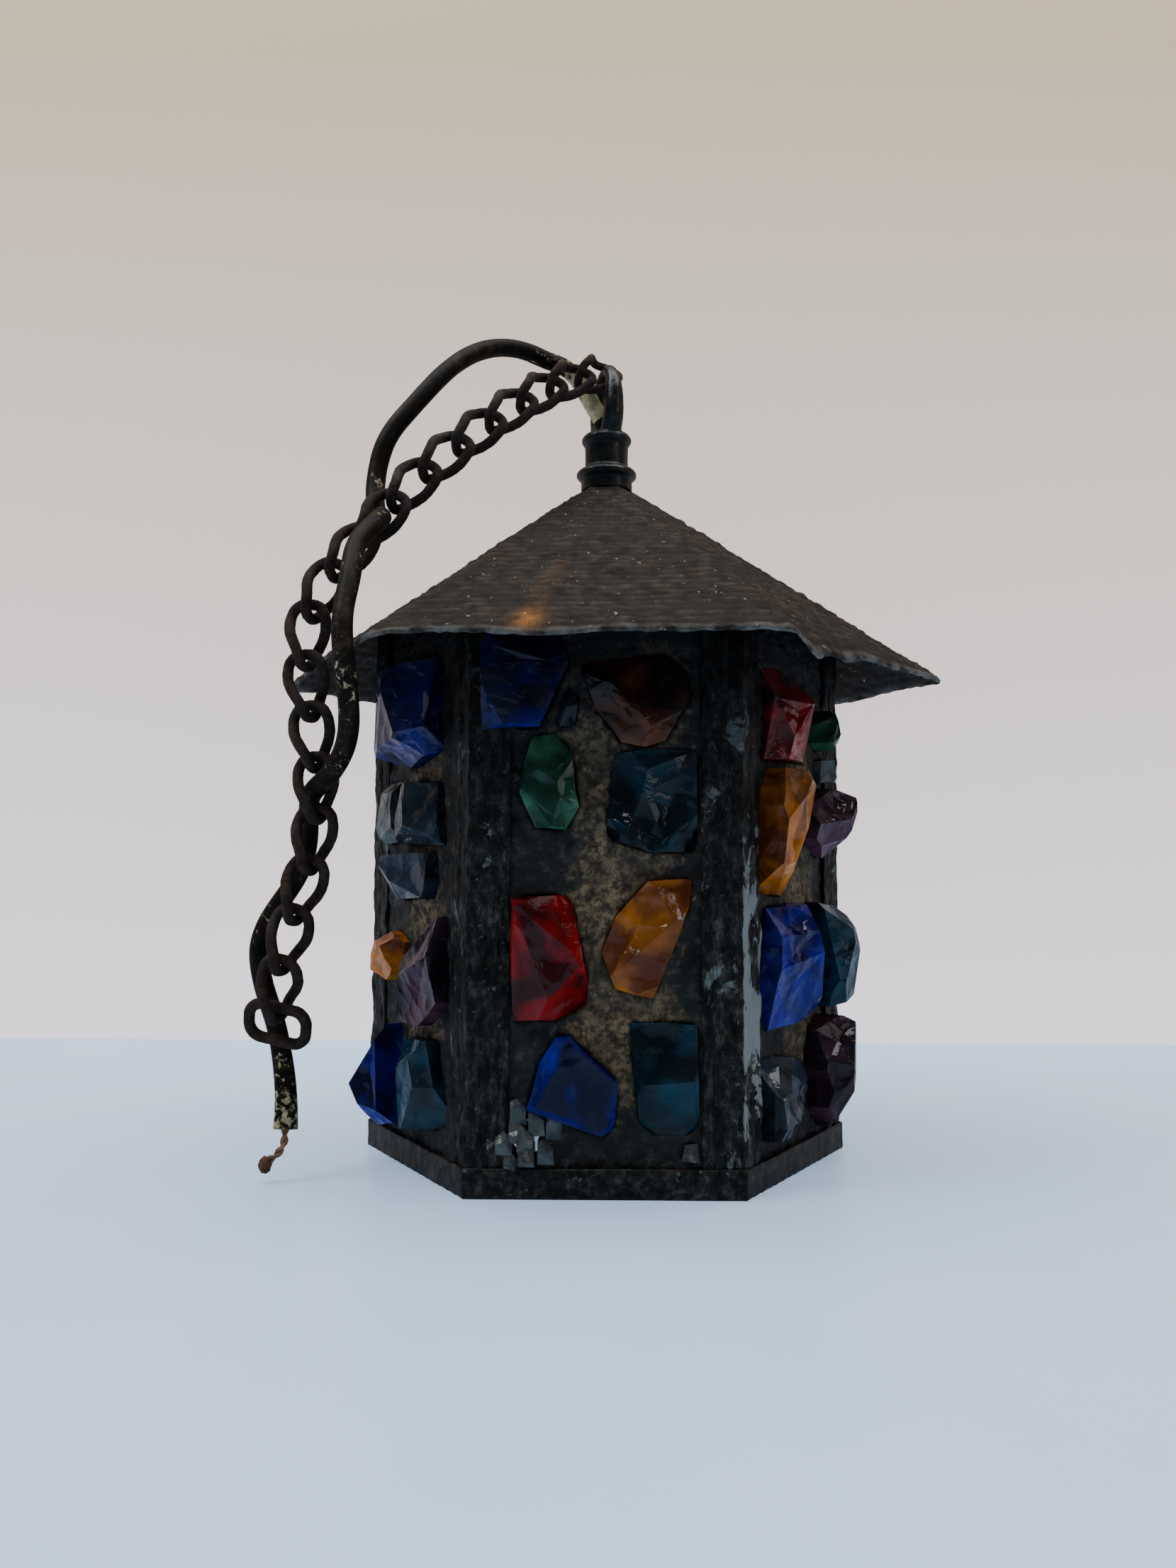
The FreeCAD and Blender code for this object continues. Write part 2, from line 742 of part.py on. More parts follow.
def faceted(points, triangles):
    """The solid inside closed flat triangles."""
    skin = Part.Shape()
    skin.makeShapeFromMesh((points, triangles), 1e-4)
    solid = Part.makeSolid(skin)
    if solid.Volume < 0:
        solid.reverse()
    return solid


def stations_along(path, spacing):
    """Evenly spaced stations on a smooth curve through a path, turning with it."""
    curve = Part.BSplineCurve()
    curve.interpolate(Points=[Vector(*point) for point in path])
    count = math.ceil(curve.length() / spacing)
    places = curve.discretize(Number=count + 1)
    along = [curve.tangent(curve.parameter(place))[0] for place in places]
    across = along[0].cross(Vector(0, 1, 0)).normalize()
    stations = [(places[0], across, along[0].cross(across))]
    for k in range(1, len(places)):
        across = Rotation(along[k - 1], along[k]).multVec(across)
        stations.append((places[k], across, along[k].cross(across)))
    return stations


def tube(stations, outer, inner=None):
    """A strand along stations with flat ends, hollow where an inner radius is given."""
    points = round_sections(stations, outer)
    size, last = len(points), len(points) - STRAND_SIDES
    starts = range(0, last, STRAND_SIDES)
    triangles = [facet for k in starts for facet in wall(k, k + STRAND_SIDES)]
    if inner is None:
        points += [stations[0][0], stations[-1][0]]
        for side in range(STRAND_SIDES):
            after = (side + 1) % STRAND_SIDES
            triangles.append((after, side, size))
            triangles.append((last + side, last + after, size + 1))
        return faceted(points, triangles)
    points += round_sections(stations, inner)
    for k in starts:
        triangles += wall(size + k + STRAND_SIDES, size + k)
    return faceted(points, triangles + wall(size, 0) + wall(last, size + last))


# ---------------------------------------------------------------- chain

# The chain's path: from the crown of the eye, over the roof's front-left edge and down.
CHAIN_PATH = [
    (-0.3, 1, 265), (-19, -19, 252.5), (-38, -34, 234.5), (-57.5, -45.5, 214),
    (-74.5, -54.5, 191), (-88, -61.5, 165), (-87.5, -61, 142), (-85, -60, 120),
    (-85.5, -60, 98), (-91, -61, 76), (-96, -55, 47),
]
LINK_COUNT = 19
LEVEL_LINK = 8
LEVEL_LINK_FACING = Vector(0.53, -0.84, -0.07)
TWIST_FLAT = 1.5


def link_sizes():
    """Half length and half width of a link, on the wire's centre line."""
    wire = dim("link_wire")
    half_long = (dim("link_inner_long") + wire) / 2
    half_wide = (dim("link_outer_wide") - wire) / 2
    return half_long, half_wide


def chain_places():
    """Where each link hangs: its pivot, its direction and the way its opening faces."""
    curve = Part.BSplineCurve()
    curve.interpolate(Points=[Vector(*p) for p in CHAIN_PATH])
    half_long, _ = link_sizes()
    reach = dim("link_wire") + dim("link_play")
    pitch = 2 * half_long - reach
    slack = 0.3
    first = 2 * half_long - dim("eye_crown") - dim("link_wire") / 2 - slack
    start = curve.FirstParameter
    pivots = [
        curve.value(curve.parameterAtDistance(first + pitch * (k - 1), start))
        for k in range(1, LINK_COUNT)
    ]
    pivots.insert(0, Vector(*CHAIN_PATH[0]))
    ways = [(b - a).normalize() for a, b in zip(pivots, pivots[1:])]
    level = LEVEL_LINK - 1
    facing = [None] * len(ways)
    across = LEVEL_LINK_FACING.cross(ways[level])
    facing[level] = ways[level].cross(across).normalize()
    for k in range(level + 1, len(ways)):
        facing[k] = Rotation(ways[k - 1], ways[k]).multVec(facing[k - 1])
    for k in range(level - 1, -1, -1):
        facing[k] = Rotation(ways[k + 1], ways[k]).multVec(facing[k + 1])
    return pivots, ways, facing


def end_wire_direction(way, facing):
    """The direction of a link's end wire, which the next link turns on."""
    return (facing.cross(way) - facing).normalize()


def curb_link():
    """A link twisted a quarter turn, lengthwise along X, its ends straight wire."""
    half_long, half_wide = link_sizes()
    bend = dim("link_corner")
    corner_steps, side_steps = 5, 6
    corner = []
    for k in range(corner_steps + 1):
        angle = math.pi / 2 * k / corner_steps
        along = -half_long + bend * (1 - math.cos(angle))
        outward = (-math.cos(angle), math.sin(angle))
        corner.append((along, half_wide - bend + bend * math.sin(angle), outward))
    side = [
        ((half_long - bend) * (2 * k / side_steps - 1), half_wide, (0, 1))
        for k in range(1, side_steps)
    ]
    far_corner = [(-x, out, (-way[0], way[1])) for x, out, way in reversed(corner)]
    half_loop = corner + side + far_corner
    other_half = [(x, -out, (way[0], -way[1])) for x, out, way in reversed(half_loop)]
    loop = half_loop + other_half

    def twisted(x, out):
        share = min(max((x + half_long - TWIST_FLAT) / 2 / (half_long - TWIST_FLAT), 0), 1)
        angle = math.radians(45 - 90 * share**2 * (3 - 2 * share))
        return Vector(0, out * math.cos(angle), out * math.sin(angle))

    centres = [twisted(x, out) + Vector(x, 0, 0) for x, out, _ in loop]
    stations = []
    for k, (x, _, (lengthwise, sideways)) in enumerate(loop):
        along = (centres[(k + 1) % len(loop)] - centres[k - 1]).normalize()
        outward = twisted(x, sideways) + Vector(lengthwise, 0, 0)
        outward = (outward - along * outward.dot(along)).normalize()
        stations.append((centres[k], outward, along.cross(outward)))
    points = round_sections(stations, dim("link_wire") / 2)
    starts = range(0, len(points), STRAND_SIDES)
    triangles = [
        facet for k in starts for facet in wall(k, (k + STRAND_SIDES) % len(points))
    ]
    return faceted(points, triangles)


def flat_link():
    """The last link, which isn't twisted: lengthwise along X, its opening facing Z."""
    half_long, half_wide = link_sizes()
    bend, radius = dim("link_corner"), dim("link_wire") / 2
    x, y = half_long - bend, half_wide - bend
    up = Vector(0, 0, 1)
    pieces = []
    for number, (x_side, y_side) in enumerate(((1, 1), (-1, 1), (-1, -1), (1, -1))):
        corner = Part.makeTorus(bend, radius, Vector(0, 0, 0), up, -180, 180, 90)
        corner.rotate(Vector(0, 0, 0), up, 90 * number)
        corner.translate(Vector(x_side * x, y_side * y, 0))
        pieces.append(corner)
    for side in (1, -1):
        long_start, short_start = Vector(-x, side * half_wide, 0), Vector(side * half_long, -y, 0)
        pieces.append(Part.makeCylinder(radius, 2 * x, long_start, Vector(1, 0, 0)))
        pieces.append(Part.makeCylinder(radius, 2 * y, short_start, Vector(0, 1, 0)))
    round_faces = [
        face for piece in pieces for face in piece.Faces
        if not isinstance(face.Surface, Part.Plane)
    ]
    skin = Part.makeCompound(round_faces)
    skin.sewShape(1e-4)
    return Part.Solid(skin.Shells[0])


def chain():
    """All links, each in its own place, the last one lying across."""
    pivots, ways, facing = chain_places()
    half_long, half_wide = link_sizes()
    reach = dim("link_wire") + dim("link_play")
    shape = curb_link()
    for k in range(LINK_COUNT - 1):
        way, face = ways[k], facing[k]
        link = feature(f"link_{k + 1}", shape.copy())
        turn = Rotation(way, face.cross(way), face, "XYZ")
        link.Placement = Placement(pivots[k + 1] - way * half_long, turn)
        part(link, f"chain_link_{k + 1:02d}")
    axis = end_wire_direction(ways[-1], facing[-1])
    last = feature(f"link_{LINK_COUNT}", flat_link())
    turn = Rotation(axis.cross(ways[-1]), ways[-1] * -1, axis, "ZYX")
    last.Placement = Placement(pivots[-1] + ways[-1] * (half_wide - reach), turn)
    part(last, "chain_end_link")


# ---------------------------------------------------------------- flex

# The flex's path: up through the tube and the eye, behind the first links, through
# the eighth link to the front, down past the roof, back through the fourteenth link
# and down behind the rest to its cut end.
CORD_PATH = [
    (0, 0, 151), (0, 0, 175), (0, 0, 200), (0, 0, 225), (0, 0, 236), (0, 0, 243),
    (-1.5, 0, 247), (-6.5, 2, 256.5), (-11.5, 2.5, 265), (-20, 0, 268.5),
    (-26.5, -4, 270), (-37, -13, 268), (-47, -23.5, 260), (-54.5, -31, 250),
    (-62.5, -36.5, 238), (-69, -39, 228), (-72, -39.5, 218), (-70.5, -47, 201),
    (-67.5, -56, 197.5), (-72, -71.5, 185), (-72.1, -77.5, 176), (-72.8, -82, 166.5),
    (-72.8, -85.2, 158.7), (-71.8, -84.8, 146.8), (-71.6, -79.5, 135.4), (-74.5, -72, 125.5),
    (-82.5, -63.5, 117), (-87.5, -56, 113.5), (-90, -47.5, 100.5), (-93.5, -44.5, 90),
    (-97, -44, 84.5), (-101.5, -43.5, 78), (-105.5, -43, 67), (-105, -42.5, 61.5),
    (-103.5, -42, 55), (-100.5, -42, 46.5), (-98, -43.5, 38), (-95.5, -46.5, 26),
    (-94.5, -50, 14.5),
]
CORE_TAIL = [(-94.4, -51.3, 11), (-96.3, -52, 8.5), (-100, -52.3, 6)]


def flex():
    """The sheath, open at its cut end, and the twisted cores that stick out of it."""
    spacing = 4.0
    sheath = tube(
        stations_along(CORD_PATH, spacing), dim("cord_diameter") / 2, dim("sheath_bore") / 2
    )
    part(feature("cord_sheath", sheath), "cord_sheath")
    core = tube(stations_along(CORD_PATH + CORE_TAIL, spacing), dim("core_diameter") / 2)
    part(feature("cord_core", core), "cord_core")


# ---------------------------------------------------------------- build and write

base_rim()
for number in range(1, 7):
    corner_post(number)
top_rim()
panels_and_glass()
roof()
loop_finial()
threaded_tube()
bridge()
holder_cap()
holder_insides()
bulb()
chain()
flex()
doc.recompute()

for thing in doc.Objects:
    bad = [state for state in thing.State if state in ("Invalid", "Error")]
    if bad:
        raise RuntimeError(f"{thing.Label} could not be made: {bad}")
for thing in parts:
    if thing.Shape.isNull() or not thing.Shape.isValid() or not thing.Shape.Solids:
        raise RuntimeError(f"{thing.Label} has no valid solid")

os.makedirs("parts", exist_ok=True)
for thing in parts:
    thing.Shape.exportStep(f"parts/{thing.Label}.step")
print(f"{len(parts)} sub-parts written")
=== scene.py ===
import math
import random

import bmesh
import bpy
import numpy as np
from mathutils import Matrix, Vector, kdtree, noise


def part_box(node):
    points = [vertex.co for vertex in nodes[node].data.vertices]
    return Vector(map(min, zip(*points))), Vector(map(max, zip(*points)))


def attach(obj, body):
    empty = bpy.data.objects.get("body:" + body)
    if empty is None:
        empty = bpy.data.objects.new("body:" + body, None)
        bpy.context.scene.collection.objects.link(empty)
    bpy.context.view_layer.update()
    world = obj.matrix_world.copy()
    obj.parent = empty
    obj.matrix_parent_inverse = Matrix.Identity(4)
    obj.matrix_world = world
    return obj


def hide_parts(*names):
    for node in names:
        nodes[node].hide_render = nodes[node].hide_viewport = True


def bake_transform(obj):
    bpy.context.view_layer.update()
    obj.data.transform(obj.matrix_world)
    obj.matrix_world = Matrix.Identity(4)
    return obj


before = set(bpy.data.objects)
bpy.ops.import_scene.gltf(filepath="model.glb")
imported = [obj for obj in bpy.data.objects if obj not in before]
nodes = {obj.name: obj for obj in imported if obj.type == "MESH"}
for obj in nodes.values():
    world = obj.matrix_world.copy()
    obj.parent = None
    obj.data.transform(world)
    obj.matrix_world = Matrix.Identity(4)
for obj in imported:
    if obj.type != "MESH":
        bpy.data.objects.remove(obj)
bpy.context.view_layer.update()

# The looks of a six-sided hanging lantern: knapped glass in sandy mortar, flaking black
# paint on the metal, a hammered roof, a rusty curb chain and a stiff, painted flex.
# Metres, in the frame of the CAD model: +Z up, -Y is the front.

MM = 0.001
collection = bpy.context.scene.collection

PANELS = {
    "panel_front": -90,
    "panel_front_right": -30,
    "panel_back_right": 30,
    "panel_back": 90,
    "panel_back_left": 150,
    "panel_front_left": -150,
}
GLASS = ["cobalt", "orange", "smoke", "green", "teal", "red", "amber", "clear", "purple"]
LINKS = [f"chain_link_{k:02d}" for k in range(1, 19)] + ["chain_end_link"]
LINK_BODIES = [f"link_{k:02d}" for k in range(1, 19)] + ["end_link"]
BODY = "lantern"
MORTAR_FACE = -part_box("panel_front")[0].y  # from the axis to the mortar's outer face

# Soot and painted shade of the roof: near-black mixed in from the first height up to the second.
SOOT_AND_SHADE = (0.0008, 0.0008, 0.0008)
SOOT_AND_SHADE_FROM, SOOT_AND_SHADE_FULL = 0.105, 0.152  # heights in metres, the second close below the eaves
ROOF_ROWS = 120
ROOF_COLUMNS = 88
ROOF_SHEET = 0.9 * MM
FLEX_RADIUS = 3.0 * MM
FLEX_WALL = 1.15 * MM
CORE_RADIUS = 0.62 * MM
CORE_COLOURS = (0.1, 0.045, 0.02), (0.38, 0.17, 0.07)

# ------------------------ node materials


class Nodes:
    """A node material under construction. Each method adds one node, gives its output."""

    def __init__(self, name, **principled):
        self.material = bpy.data.materials.new(name)
        self.material.use_nodes = True
        self.tree = self.material.node_tree
        self.surface = self.tree.nodes["Principled BSDF"]
        self.place = self.add("ShaderNodeTexCoord").outputs["Object"]
        self.set(**principled)

    def add(self, kind):
        return self.tree.nodes.new(kind)

    def link(self, value, socket):
        """Plug an output into a socket, or write a plain value there."""
        if isinstance(value, bpy.types.NodeSocket):
            self.tree.links.new(value, socket)
        else:
            socket.default_value = value

    def set(self, **inputs):
        """Inputs of the surface: base_color means Base Color."""
        names = {socket.name.lower().replace(" ", "_"): socket for socket in self.surface.inputs}
        for name, value in inputs.items():
            if name.endswith("color") and not isinstance(value, bpy.types.NodeSocket):
                value = (*value, 1)
            self.link(value, names[name])

    def stretched(self, x=1, y=1, z=1):
        """The object's coordinates, scaled unevenly."""
        node = self.add("ShaderNodeMapping")
        self.link(self.place, node.inputs["Vector"])
        node.inputs["Scale"].default_value = (x, y, z)
        return node.outputs["Vector"]

    def noise(self, size, detail=4, rough=0.6, warp=0, place=None):
        """Noise from 0 to 1 with features of about that size in mm."""
        node = self.add("ShaderNodeTexNoise")
        self.link(place or self.place, node.inputs["Vector"])
        node.inputs["Scale"].default_value = 1 / (size * MM)
        node.inputs["Detail"].default_value = detail
        node.inputs["Roughness"].default_value = rough
        node.inputs["Distortion"].default_value = warp
        return node.outputs["Fac"]

    def cells(self, size):
        """Distance from the middle of its Voronoi cell, for cells of about that size in mm."""
        node = self.add("ShaderNodeTexVoronoi")
        self.link(self.place, node.inputs["Vector"])
        node.inputs["Scale"].default_value = 1 / (size * MM)
        return node.outputs["Distance"]

    def attribute(self, name):
        """A number painted on the mesh's vertices."""
        node = self.add("ShaderNodeAttribute")
        node.attribute_name = name
        return node.outputs["Fac"]

    def ramp(self, value, *stops):
        """A colour ramp. Each stop is (place, colour)."""
        node = self.add("ShaderNodeValToRGB")
        self.link(value, node.inputs["Fac"])
        elements = node.color_ramp.elements
        while len(elements) < len(stops):
            elements.new(0.5)
        for element, (at, colour) in zip(elements, stops):
            element.position = at
            element.color = (*colour, 1)
        return node.outputs["Color"]

    def between(self, value, low, high, at_low=0.0, at_high=1.0):
        """Value mapped from low..high to at_low..at_high, held at the ends."""
        node = self.add("ShaderNodeMapRange")
        self.link(value, node.inputs["Value"])
        for name, number in (
            ("From Min", low), ("From Max", high), ("To Min", at_low), ("To Max", at_high)
        ):
            node.inputs[name].default_value = number
        return node.outputs["Result"]

    def math(self, operation, a, b):
        """Two numbers put together."""
        node = self.add("ShaderNodeMath")
        node.operation = operation
        self.link(a, node.inputs[0])
        self.link(b, node.inputs[1])
        return node.outputs[0]

    def mix(self, share, a, b):
        """Colour a where share is 0, b where it is 1."""
        node = self.add("ShaderNodeMix")
        node.data_type = "RGBA"
        self.link(share, node.inputs[0])
        for socket, colour in ((node.inputs[6], a), (node.inputs[7], b)):
            self.link(colour if isinstance(colour, bpy.types.NodeSocket) else (*colour, 1), socket)
        return node.outputs[2]

    def bump(self, *layers):
        """Bumps, each (height output, depth in mm)."""
        normal = None
        for height, depth in layers:
            node = self.add("ShaderNodeBump")
            self.link(height, node.inputs["Height"])
            node.inputs["Distance"].default_value = depth * MM
            if normal is not None:
                self.link(normal, node.inputs["Normal"])
            normal = node.outputs["Normal"]
        self.set(normal=normal)

    def dimmed_in_gloss(self):
        """A share of black, for reflections only, as in a room darker than its table."""
        reflected = self.add("ShaderNodeLightPath").outputs["Is Glossy Ray"]
        return self.math("MULTIPLY", reflected, 0.7)

    def sooty_and_shaded(self, share, colour):
        """The colour darkened below the eaves, up to that share of it: soot, and painted shade
        from the roof.
        """
        soot_and_shade = self.between(self.height(), SOOT_AND_SHADE_FROM, SOOT_AND_SHADE_FULL, 0, share)
        return self.mix(soot_and_shade, colour, SOOT_AND_SHADE)

    def height(self):
        """Height above the foot, in metres."""
        node = self.add("ShaderNodeSeparateXYZ")
        self.link(self.place, node.inputs[0])
        return node.outputs["Z"]


GLASS_HAZE = (0.28, 0.31, 0.35)


def glass_material(name, deep, bright, clear):
    """Knapped coloured glass: deep and bright zones with a painted glow where faces slant from the
    view, conchoidal ripples, chipped haze.

    Clear is the share of light that goes through where the glass isn't hazy.
    """
    look = Nodes(name, ior=1.42, specular_ior_level=0.5)
    # Painted glow: the colour turns to the bright one where faces slant away from the view, on top
    # of random tone.
    glow_at_grazing = look.add("ShaderNodeLayerWeight").outputs["Facing"]
    tone_and_glow = look.math("ADD", look.noise(14, 2, 0.5, warp=0.8), look.math("MULTIPLY", glow_at_grazing, 0.34))
    # darker below the eaves: soot and painted shade of the roof
    colour = look.sooty_and_shaded(0.85, look.mix(look.between(tone_and_glow, 0.46, 0.86), deep, bright))
    chips = look.between(look.noise(5, 5, 0.7, warp=1.5), 0.6, 0.78)
    chips = look.math("MULTIPLY", chips, 0.03)
    haze = look.math("MAXIMUM", chips, look.math("MULTIPLY", look.attribute("ridge"), 0.08))
    look.set(base_color=look.mix(haze, colour, GLASS_HAZE))
    look.set(transmission_weight=look.between(haze, 0, 1, clear, clear * 0.35))
    look.set(roughness=look.between(haze, 0, 1, 0.04, 0.5))
    ripples = look.add("ShaderNodeTexWave")
    ripples.wave_type = "RINGS"
    look.link(look.place, ripples.inputs["Vector"])
    ripples.inputs["Scale"].default_value = 55
    ripples.inputs["Distortion"].default_value = 14
    ripples.inputs["Detail"].default_value = 2
    ripples.inputs["Detail Scale"].default_value = 1.2
    scoops, swells = look.cells(8.5), look.noise(6, 3, 0.5, warp=2)
    look.bump((scoops, 1.1), (ripples.outputs["Fac"], 0.12), (swells, 0.25))
    return look.material


GLASS_COLOURS = {
    "cobalt": ((0.0006, 0.001, 0.03), (0.002, 0.006, 0.42)),
    "orange": ((0.02, 0.004, 0.0015), (0.34, 0.07, 0.008)),
    "smoke": ((0.006, 0.009, 0.014), (0.045, 0.065, 0.1)),
    "green": ((0.008, 0.05, 0.026), (0.07, 0.3, 0.15)),
    "teal": ((0.0004, 0.006, 0.011), (0.003, 0.075, 0.12)),
    "red": ((0.05, 0.0004, 0.001), (0.8, 0.002, 0.006)),
    "amber": ((0.16, 0.03, 0.002), (0.9, 0.26, 0.01)),
    "clear": ((0.1, 0.11, 0.105), (0.42, 0.46, 0.44)),
    "purple": ((0.014, 0.003, 0.01), (0.12, 0.035, 0.07)),
}


def mortar_material():
    """Sandy mortar, tan in the open and dark with old paint towards the posts."""
    look = Nodes("mortar", roughness=0.92)
    sand = look.ramp(
        look.noise(3.2, 6, 0.75),
        (0.34, (0.012, 0.009, 0.006)), (0.47, (0.075, 0.05, 0.026)),
        (0.58, (0.26, 0.175, 0.085)), (0.72, (0.13, 0.095, 0.055)),
    )
    blotch = look.between(look.noise(18, 4, 0.6), 0.42, 0.66)
    sand = look.mix(look.math("MULTIPLY", blotch, 0.8), sand, (0.028, 0.023, 0.017))
    paint = look.ramp(
        look.noise(4.5, 6, 0.7),
        (0.35, (0.003, 0.0032, 0.0026)), (0.55, (0.013, 0.0128, 0.01)),
        (0.66, (0.045, 0.044, 0.037)), (0.74, (0.12, 0.12, 0.105)),
    )
    ragged = look.between(look.noise(9, 5, 0.7), 0.2, 0.8, -0.45, 0.45)
    edge = look.math("ADD", look.attribute("edge"), ragged)
    # darker below the eaves: soot and painted shade of the roof
    look.set(base_color=look.sooty_and_shaded(0.85, look.mix(look.between(edge, 0.4, 0.62), sand, paint)))
    look.set(roughness=look.between(edge, 0.4, 0.7, 0.95, 0.6))
    look.bump((look.noise(1.4, 4, 0.7), 0.5), (look.cells(2.2), 0.4))
    return look.material


def painted_material(name, flaked, roughness=0.42, streaked=True):
    """Black-green paint with vertical streaks, and pale grey flaked patches.

    A higher flaked gives more patches. The attribute bare marks where a pale coat shows.
    """
    look = Nodes(name, specular_ior_level=0.22)
    long = look.stretched(1, 1, 0.5 if streaked else 1)
    base = look.ramp(
        look.noise(3.8, 8, 0.8, place=long),
        (0.36, (0.0014, 0.0016, 0.0013)), (0.48, (0.008, 0.0078, 0.0062)),
        (0.56, (0.028, 0.0262, 0.021)), (0.67, (0.09, 0.085, 0.07)),
    )
    crust = look.ramp(
        look.noise(2.2, 5, 0.7),
        (0.35, (0.045, 0.052, 0.05)), (0.65, (0.16, 0.175, 0.165)),
    )
    bare_coat = look.attribute("bare")
    crust = look.mix(bare_coat, crust, (0.2, 0.21, 0.2))
    patches = look.noise(11, 6, 0.7, warp=0.6, place=look.stretched(1, 1, 0.6))
    patches = look.math("ADD", patches, look.math("MULTIPLY", bare_coat, 0.14))
    bare = look.between(patches, 0.64 - flaked, 0.66 - flaked)
    specks = look.between(look.noise(2.2, 3, 0.6), 0.66, 0.7)
    share = look.math("MAXIMUM", bare, look.math("MULTIPLY", specks, 0.5))
    rust = look.between(look.noise(12, 5, 0.7), 0.62, 0.72, 0, 0.35)
    coat = look.mix(share, look.mix(rust, base, (0.07, 0.035, 0.015)), crust)
    # darker below the eaves: soot and painted shade of the roof
    look.set(base_color=look.sooty_and_shaded(0.8, coat))
    look.set(roughness=look.between(share, 0, 1, roughness, 0.85))
    cracks = look.between(look.noise(4, 2, 0.4, place=look.stretched(1, 1, 0.09)), 0.57, 0.6)
    look.bump((look.noise(3, 6, 0.75, place=long), 0.5), (share, -0.12), (cracks, -0.5 * streaked))
    return look.material


def roof_material():
    """Weathered sheet: grey-brown, rust-stained, with pale specks, a lighter rim and painted shade
    in the hollows of its embossing.
    """
    look = Nodes("roof_sheet", specular_ior_level=0.18)
    base = look.ramp(
        look.noise(6, 7, 0.75),
        (0.3, (0.008, 0.006, 0.005)), (0.48, (0.03, 0.023, 0.018)),
        (0.62, (0.065, 0.051, 0.04)), (0.78, (0.13, 0.108, 0.088)),
    )
    brown = look.between(look.noise(26, 4, 0.6), 0.42, 0.62, 0, 0.75)
    base = look.mix(brown, base, (0.05, 0.029, 0.017))
    # Painted shade: darker in the hollows between the raised dashes, and on the underside.
    hollow = look.attribute("hollow")
    base = look.mix(look.between(hollow, 0.25, 0.9, 0, 0.85), base, (0.008, 0.0065, 0.005))
    rust = look.attribute("rust")
    rust = look.math("MULTIPLY", rust, look.between(look.noise(3.5, 5, 0.7), 0.3, 0.55))
    base = look.mix(rust, base, (0.3, 0.125, 0.03))
    scraped = look.between(look.noise(7, 4, 0.6), 0.4, 0.62, 0, 0.7)
    rim = look.math("MULTIPLY", look.attribute("rim"), scraped)
    base = look.mix(rim, base, (0.17, 0.165, 0.15))
    specks = look.between(look.noise(1.5, 2, 0.5), 0.72, 0.745)
    look.set(base_color=look.mix(look.math("MULTIPLY", specks, 0.75), base, (0.42, 0.4, 0.36)))
    look.set(roughness=look.between(look.noise(5, 4, 0.6), 0.3, 0.7, 0.55, 0.85))
    look.bump((look.noise(2.4, 6, 0.8), 0.45), (look.noise(9, 5, 0.7, warp=1), 0.7))
    return look.material


def rust_material():
    """Old chain wire: dark brown rust with blacker worn places."""
    look = Nodes("chain_rust", roughness=0.8, metallic=0.1, specular_ior_level=0.3)
    base = look.ramp(
        look.noise(2.8, 6, 0.75),
        (0.3, (0.007, 0.005, 0.004)), (0.52, (0.028, 0.015, 0.01)),
        (0.68, (0.07, 0.033, 0.018)), (0.82, (0.13, 0.065, 0.035)),
    )
    worn = look.between(look.noise(11, 3, 0.5), 0.5, 0.7, 0, 0.6)
    look.set(base_color=look.mix(worn, base, (0.02, 0.017, 0.017)))
    look.set(roughness=look.between(worn, 0, 0.6, 0.88, 0.55))
    look.bump((look.noise(0.9, 5, 0.8), 0.3), (look.noise(3, 4, 0.7), 0.35))
    return look.material


def finial_material():
    """Glossy black-green enamel over rough casting, worn at the eye."""
    look = Nodes("finial_paint", specular_ior_level=0.35, coat_weight=0.15, coat_roughness=0.2)
    base = look.ramp(
        look.noise(7, 5, 0.65),
        (0.35, (0.002, 0.003, 0.0025)), (0.6, (0.007, 0.01, 0.009)),
        (0.8, (0.025, 0.026, 0.022)),
    )
    scuffs = look.between(look.noise(2.6, 5, 0.7), 0.64, 0.7, 0, 0.8)
    look.set(base_color=look.mix(scuffs, base, (0.09, 0.07, 0.05)))
    look.set(roughness=look.between(look.noise(3, 4, 0.6), 0.3, 0.7, 0.22, 0.5))
    look.bump((look.noise(2, 4, 0.6), 0.25), (look.noise(7, 3, 0.5), 0.5))
    return look.material


def sheath_material():
    """Black paint over a cream flex. The paint is gone in flakes, and near the finial."""
    look = Nodes("flex_paint", specular_ior_level=0.12)
    cream = look.ramp(
        look.noise(3, 5, 0.7),
        (0.3, (0.2, 0.14, 0.06)), (0.6, (0.5, 0.42, 0.24)), (0.8, (0.66, 0.6, 0.45)),
    )
    paint = look.ramp(
        look.noise(5, 6, 0.7),
        (0.3, (0.003, 0.0025, 0.002)), (0.55, (0.011, 0.0075, 0.005)),
        (0.75, (0.06, 0.034, 0.015)),
    )
    wear = look.attribute("wear")
    flakes = look.math("ADD", look.noise(2.6, 6, 0.75, warp=0.5), look.math("MULTIPLY", wear, 0.4))
    share = look.between(flakes, 0.66, 0.7)
    look.set(base_color=look.mix(share, paint, cream))
    look.set(roughness=look.between(share, 0, 1, 0.5, 0.62))
    look.bump((share, -0.15), (look.noise(4, 5, 0.7), 0.3))
    return look.material


def plain_material(name, dark, light, grain, roughness, metallic=0.0, depth=0.05, **more):
    """Two tones of noise, with roughness and a fine bump to match. Grain and depth in mm."""
    look = Nodes(name, metallic=metallic, **more)
    tone = look.noise(grain, 5, 0.65)
    look.set(base_color=look.ramp(tone, (0.35, dark), (0.7, light)))
    look.set(roughness=look.between(tone, 0.3, 0.7, roughness * 0.8, min(1, roughness * 1.25)))
    look.bump((look.noise(grain / 4, 4, 0.6), depth))
    return look.material


# ------------------------ meshes


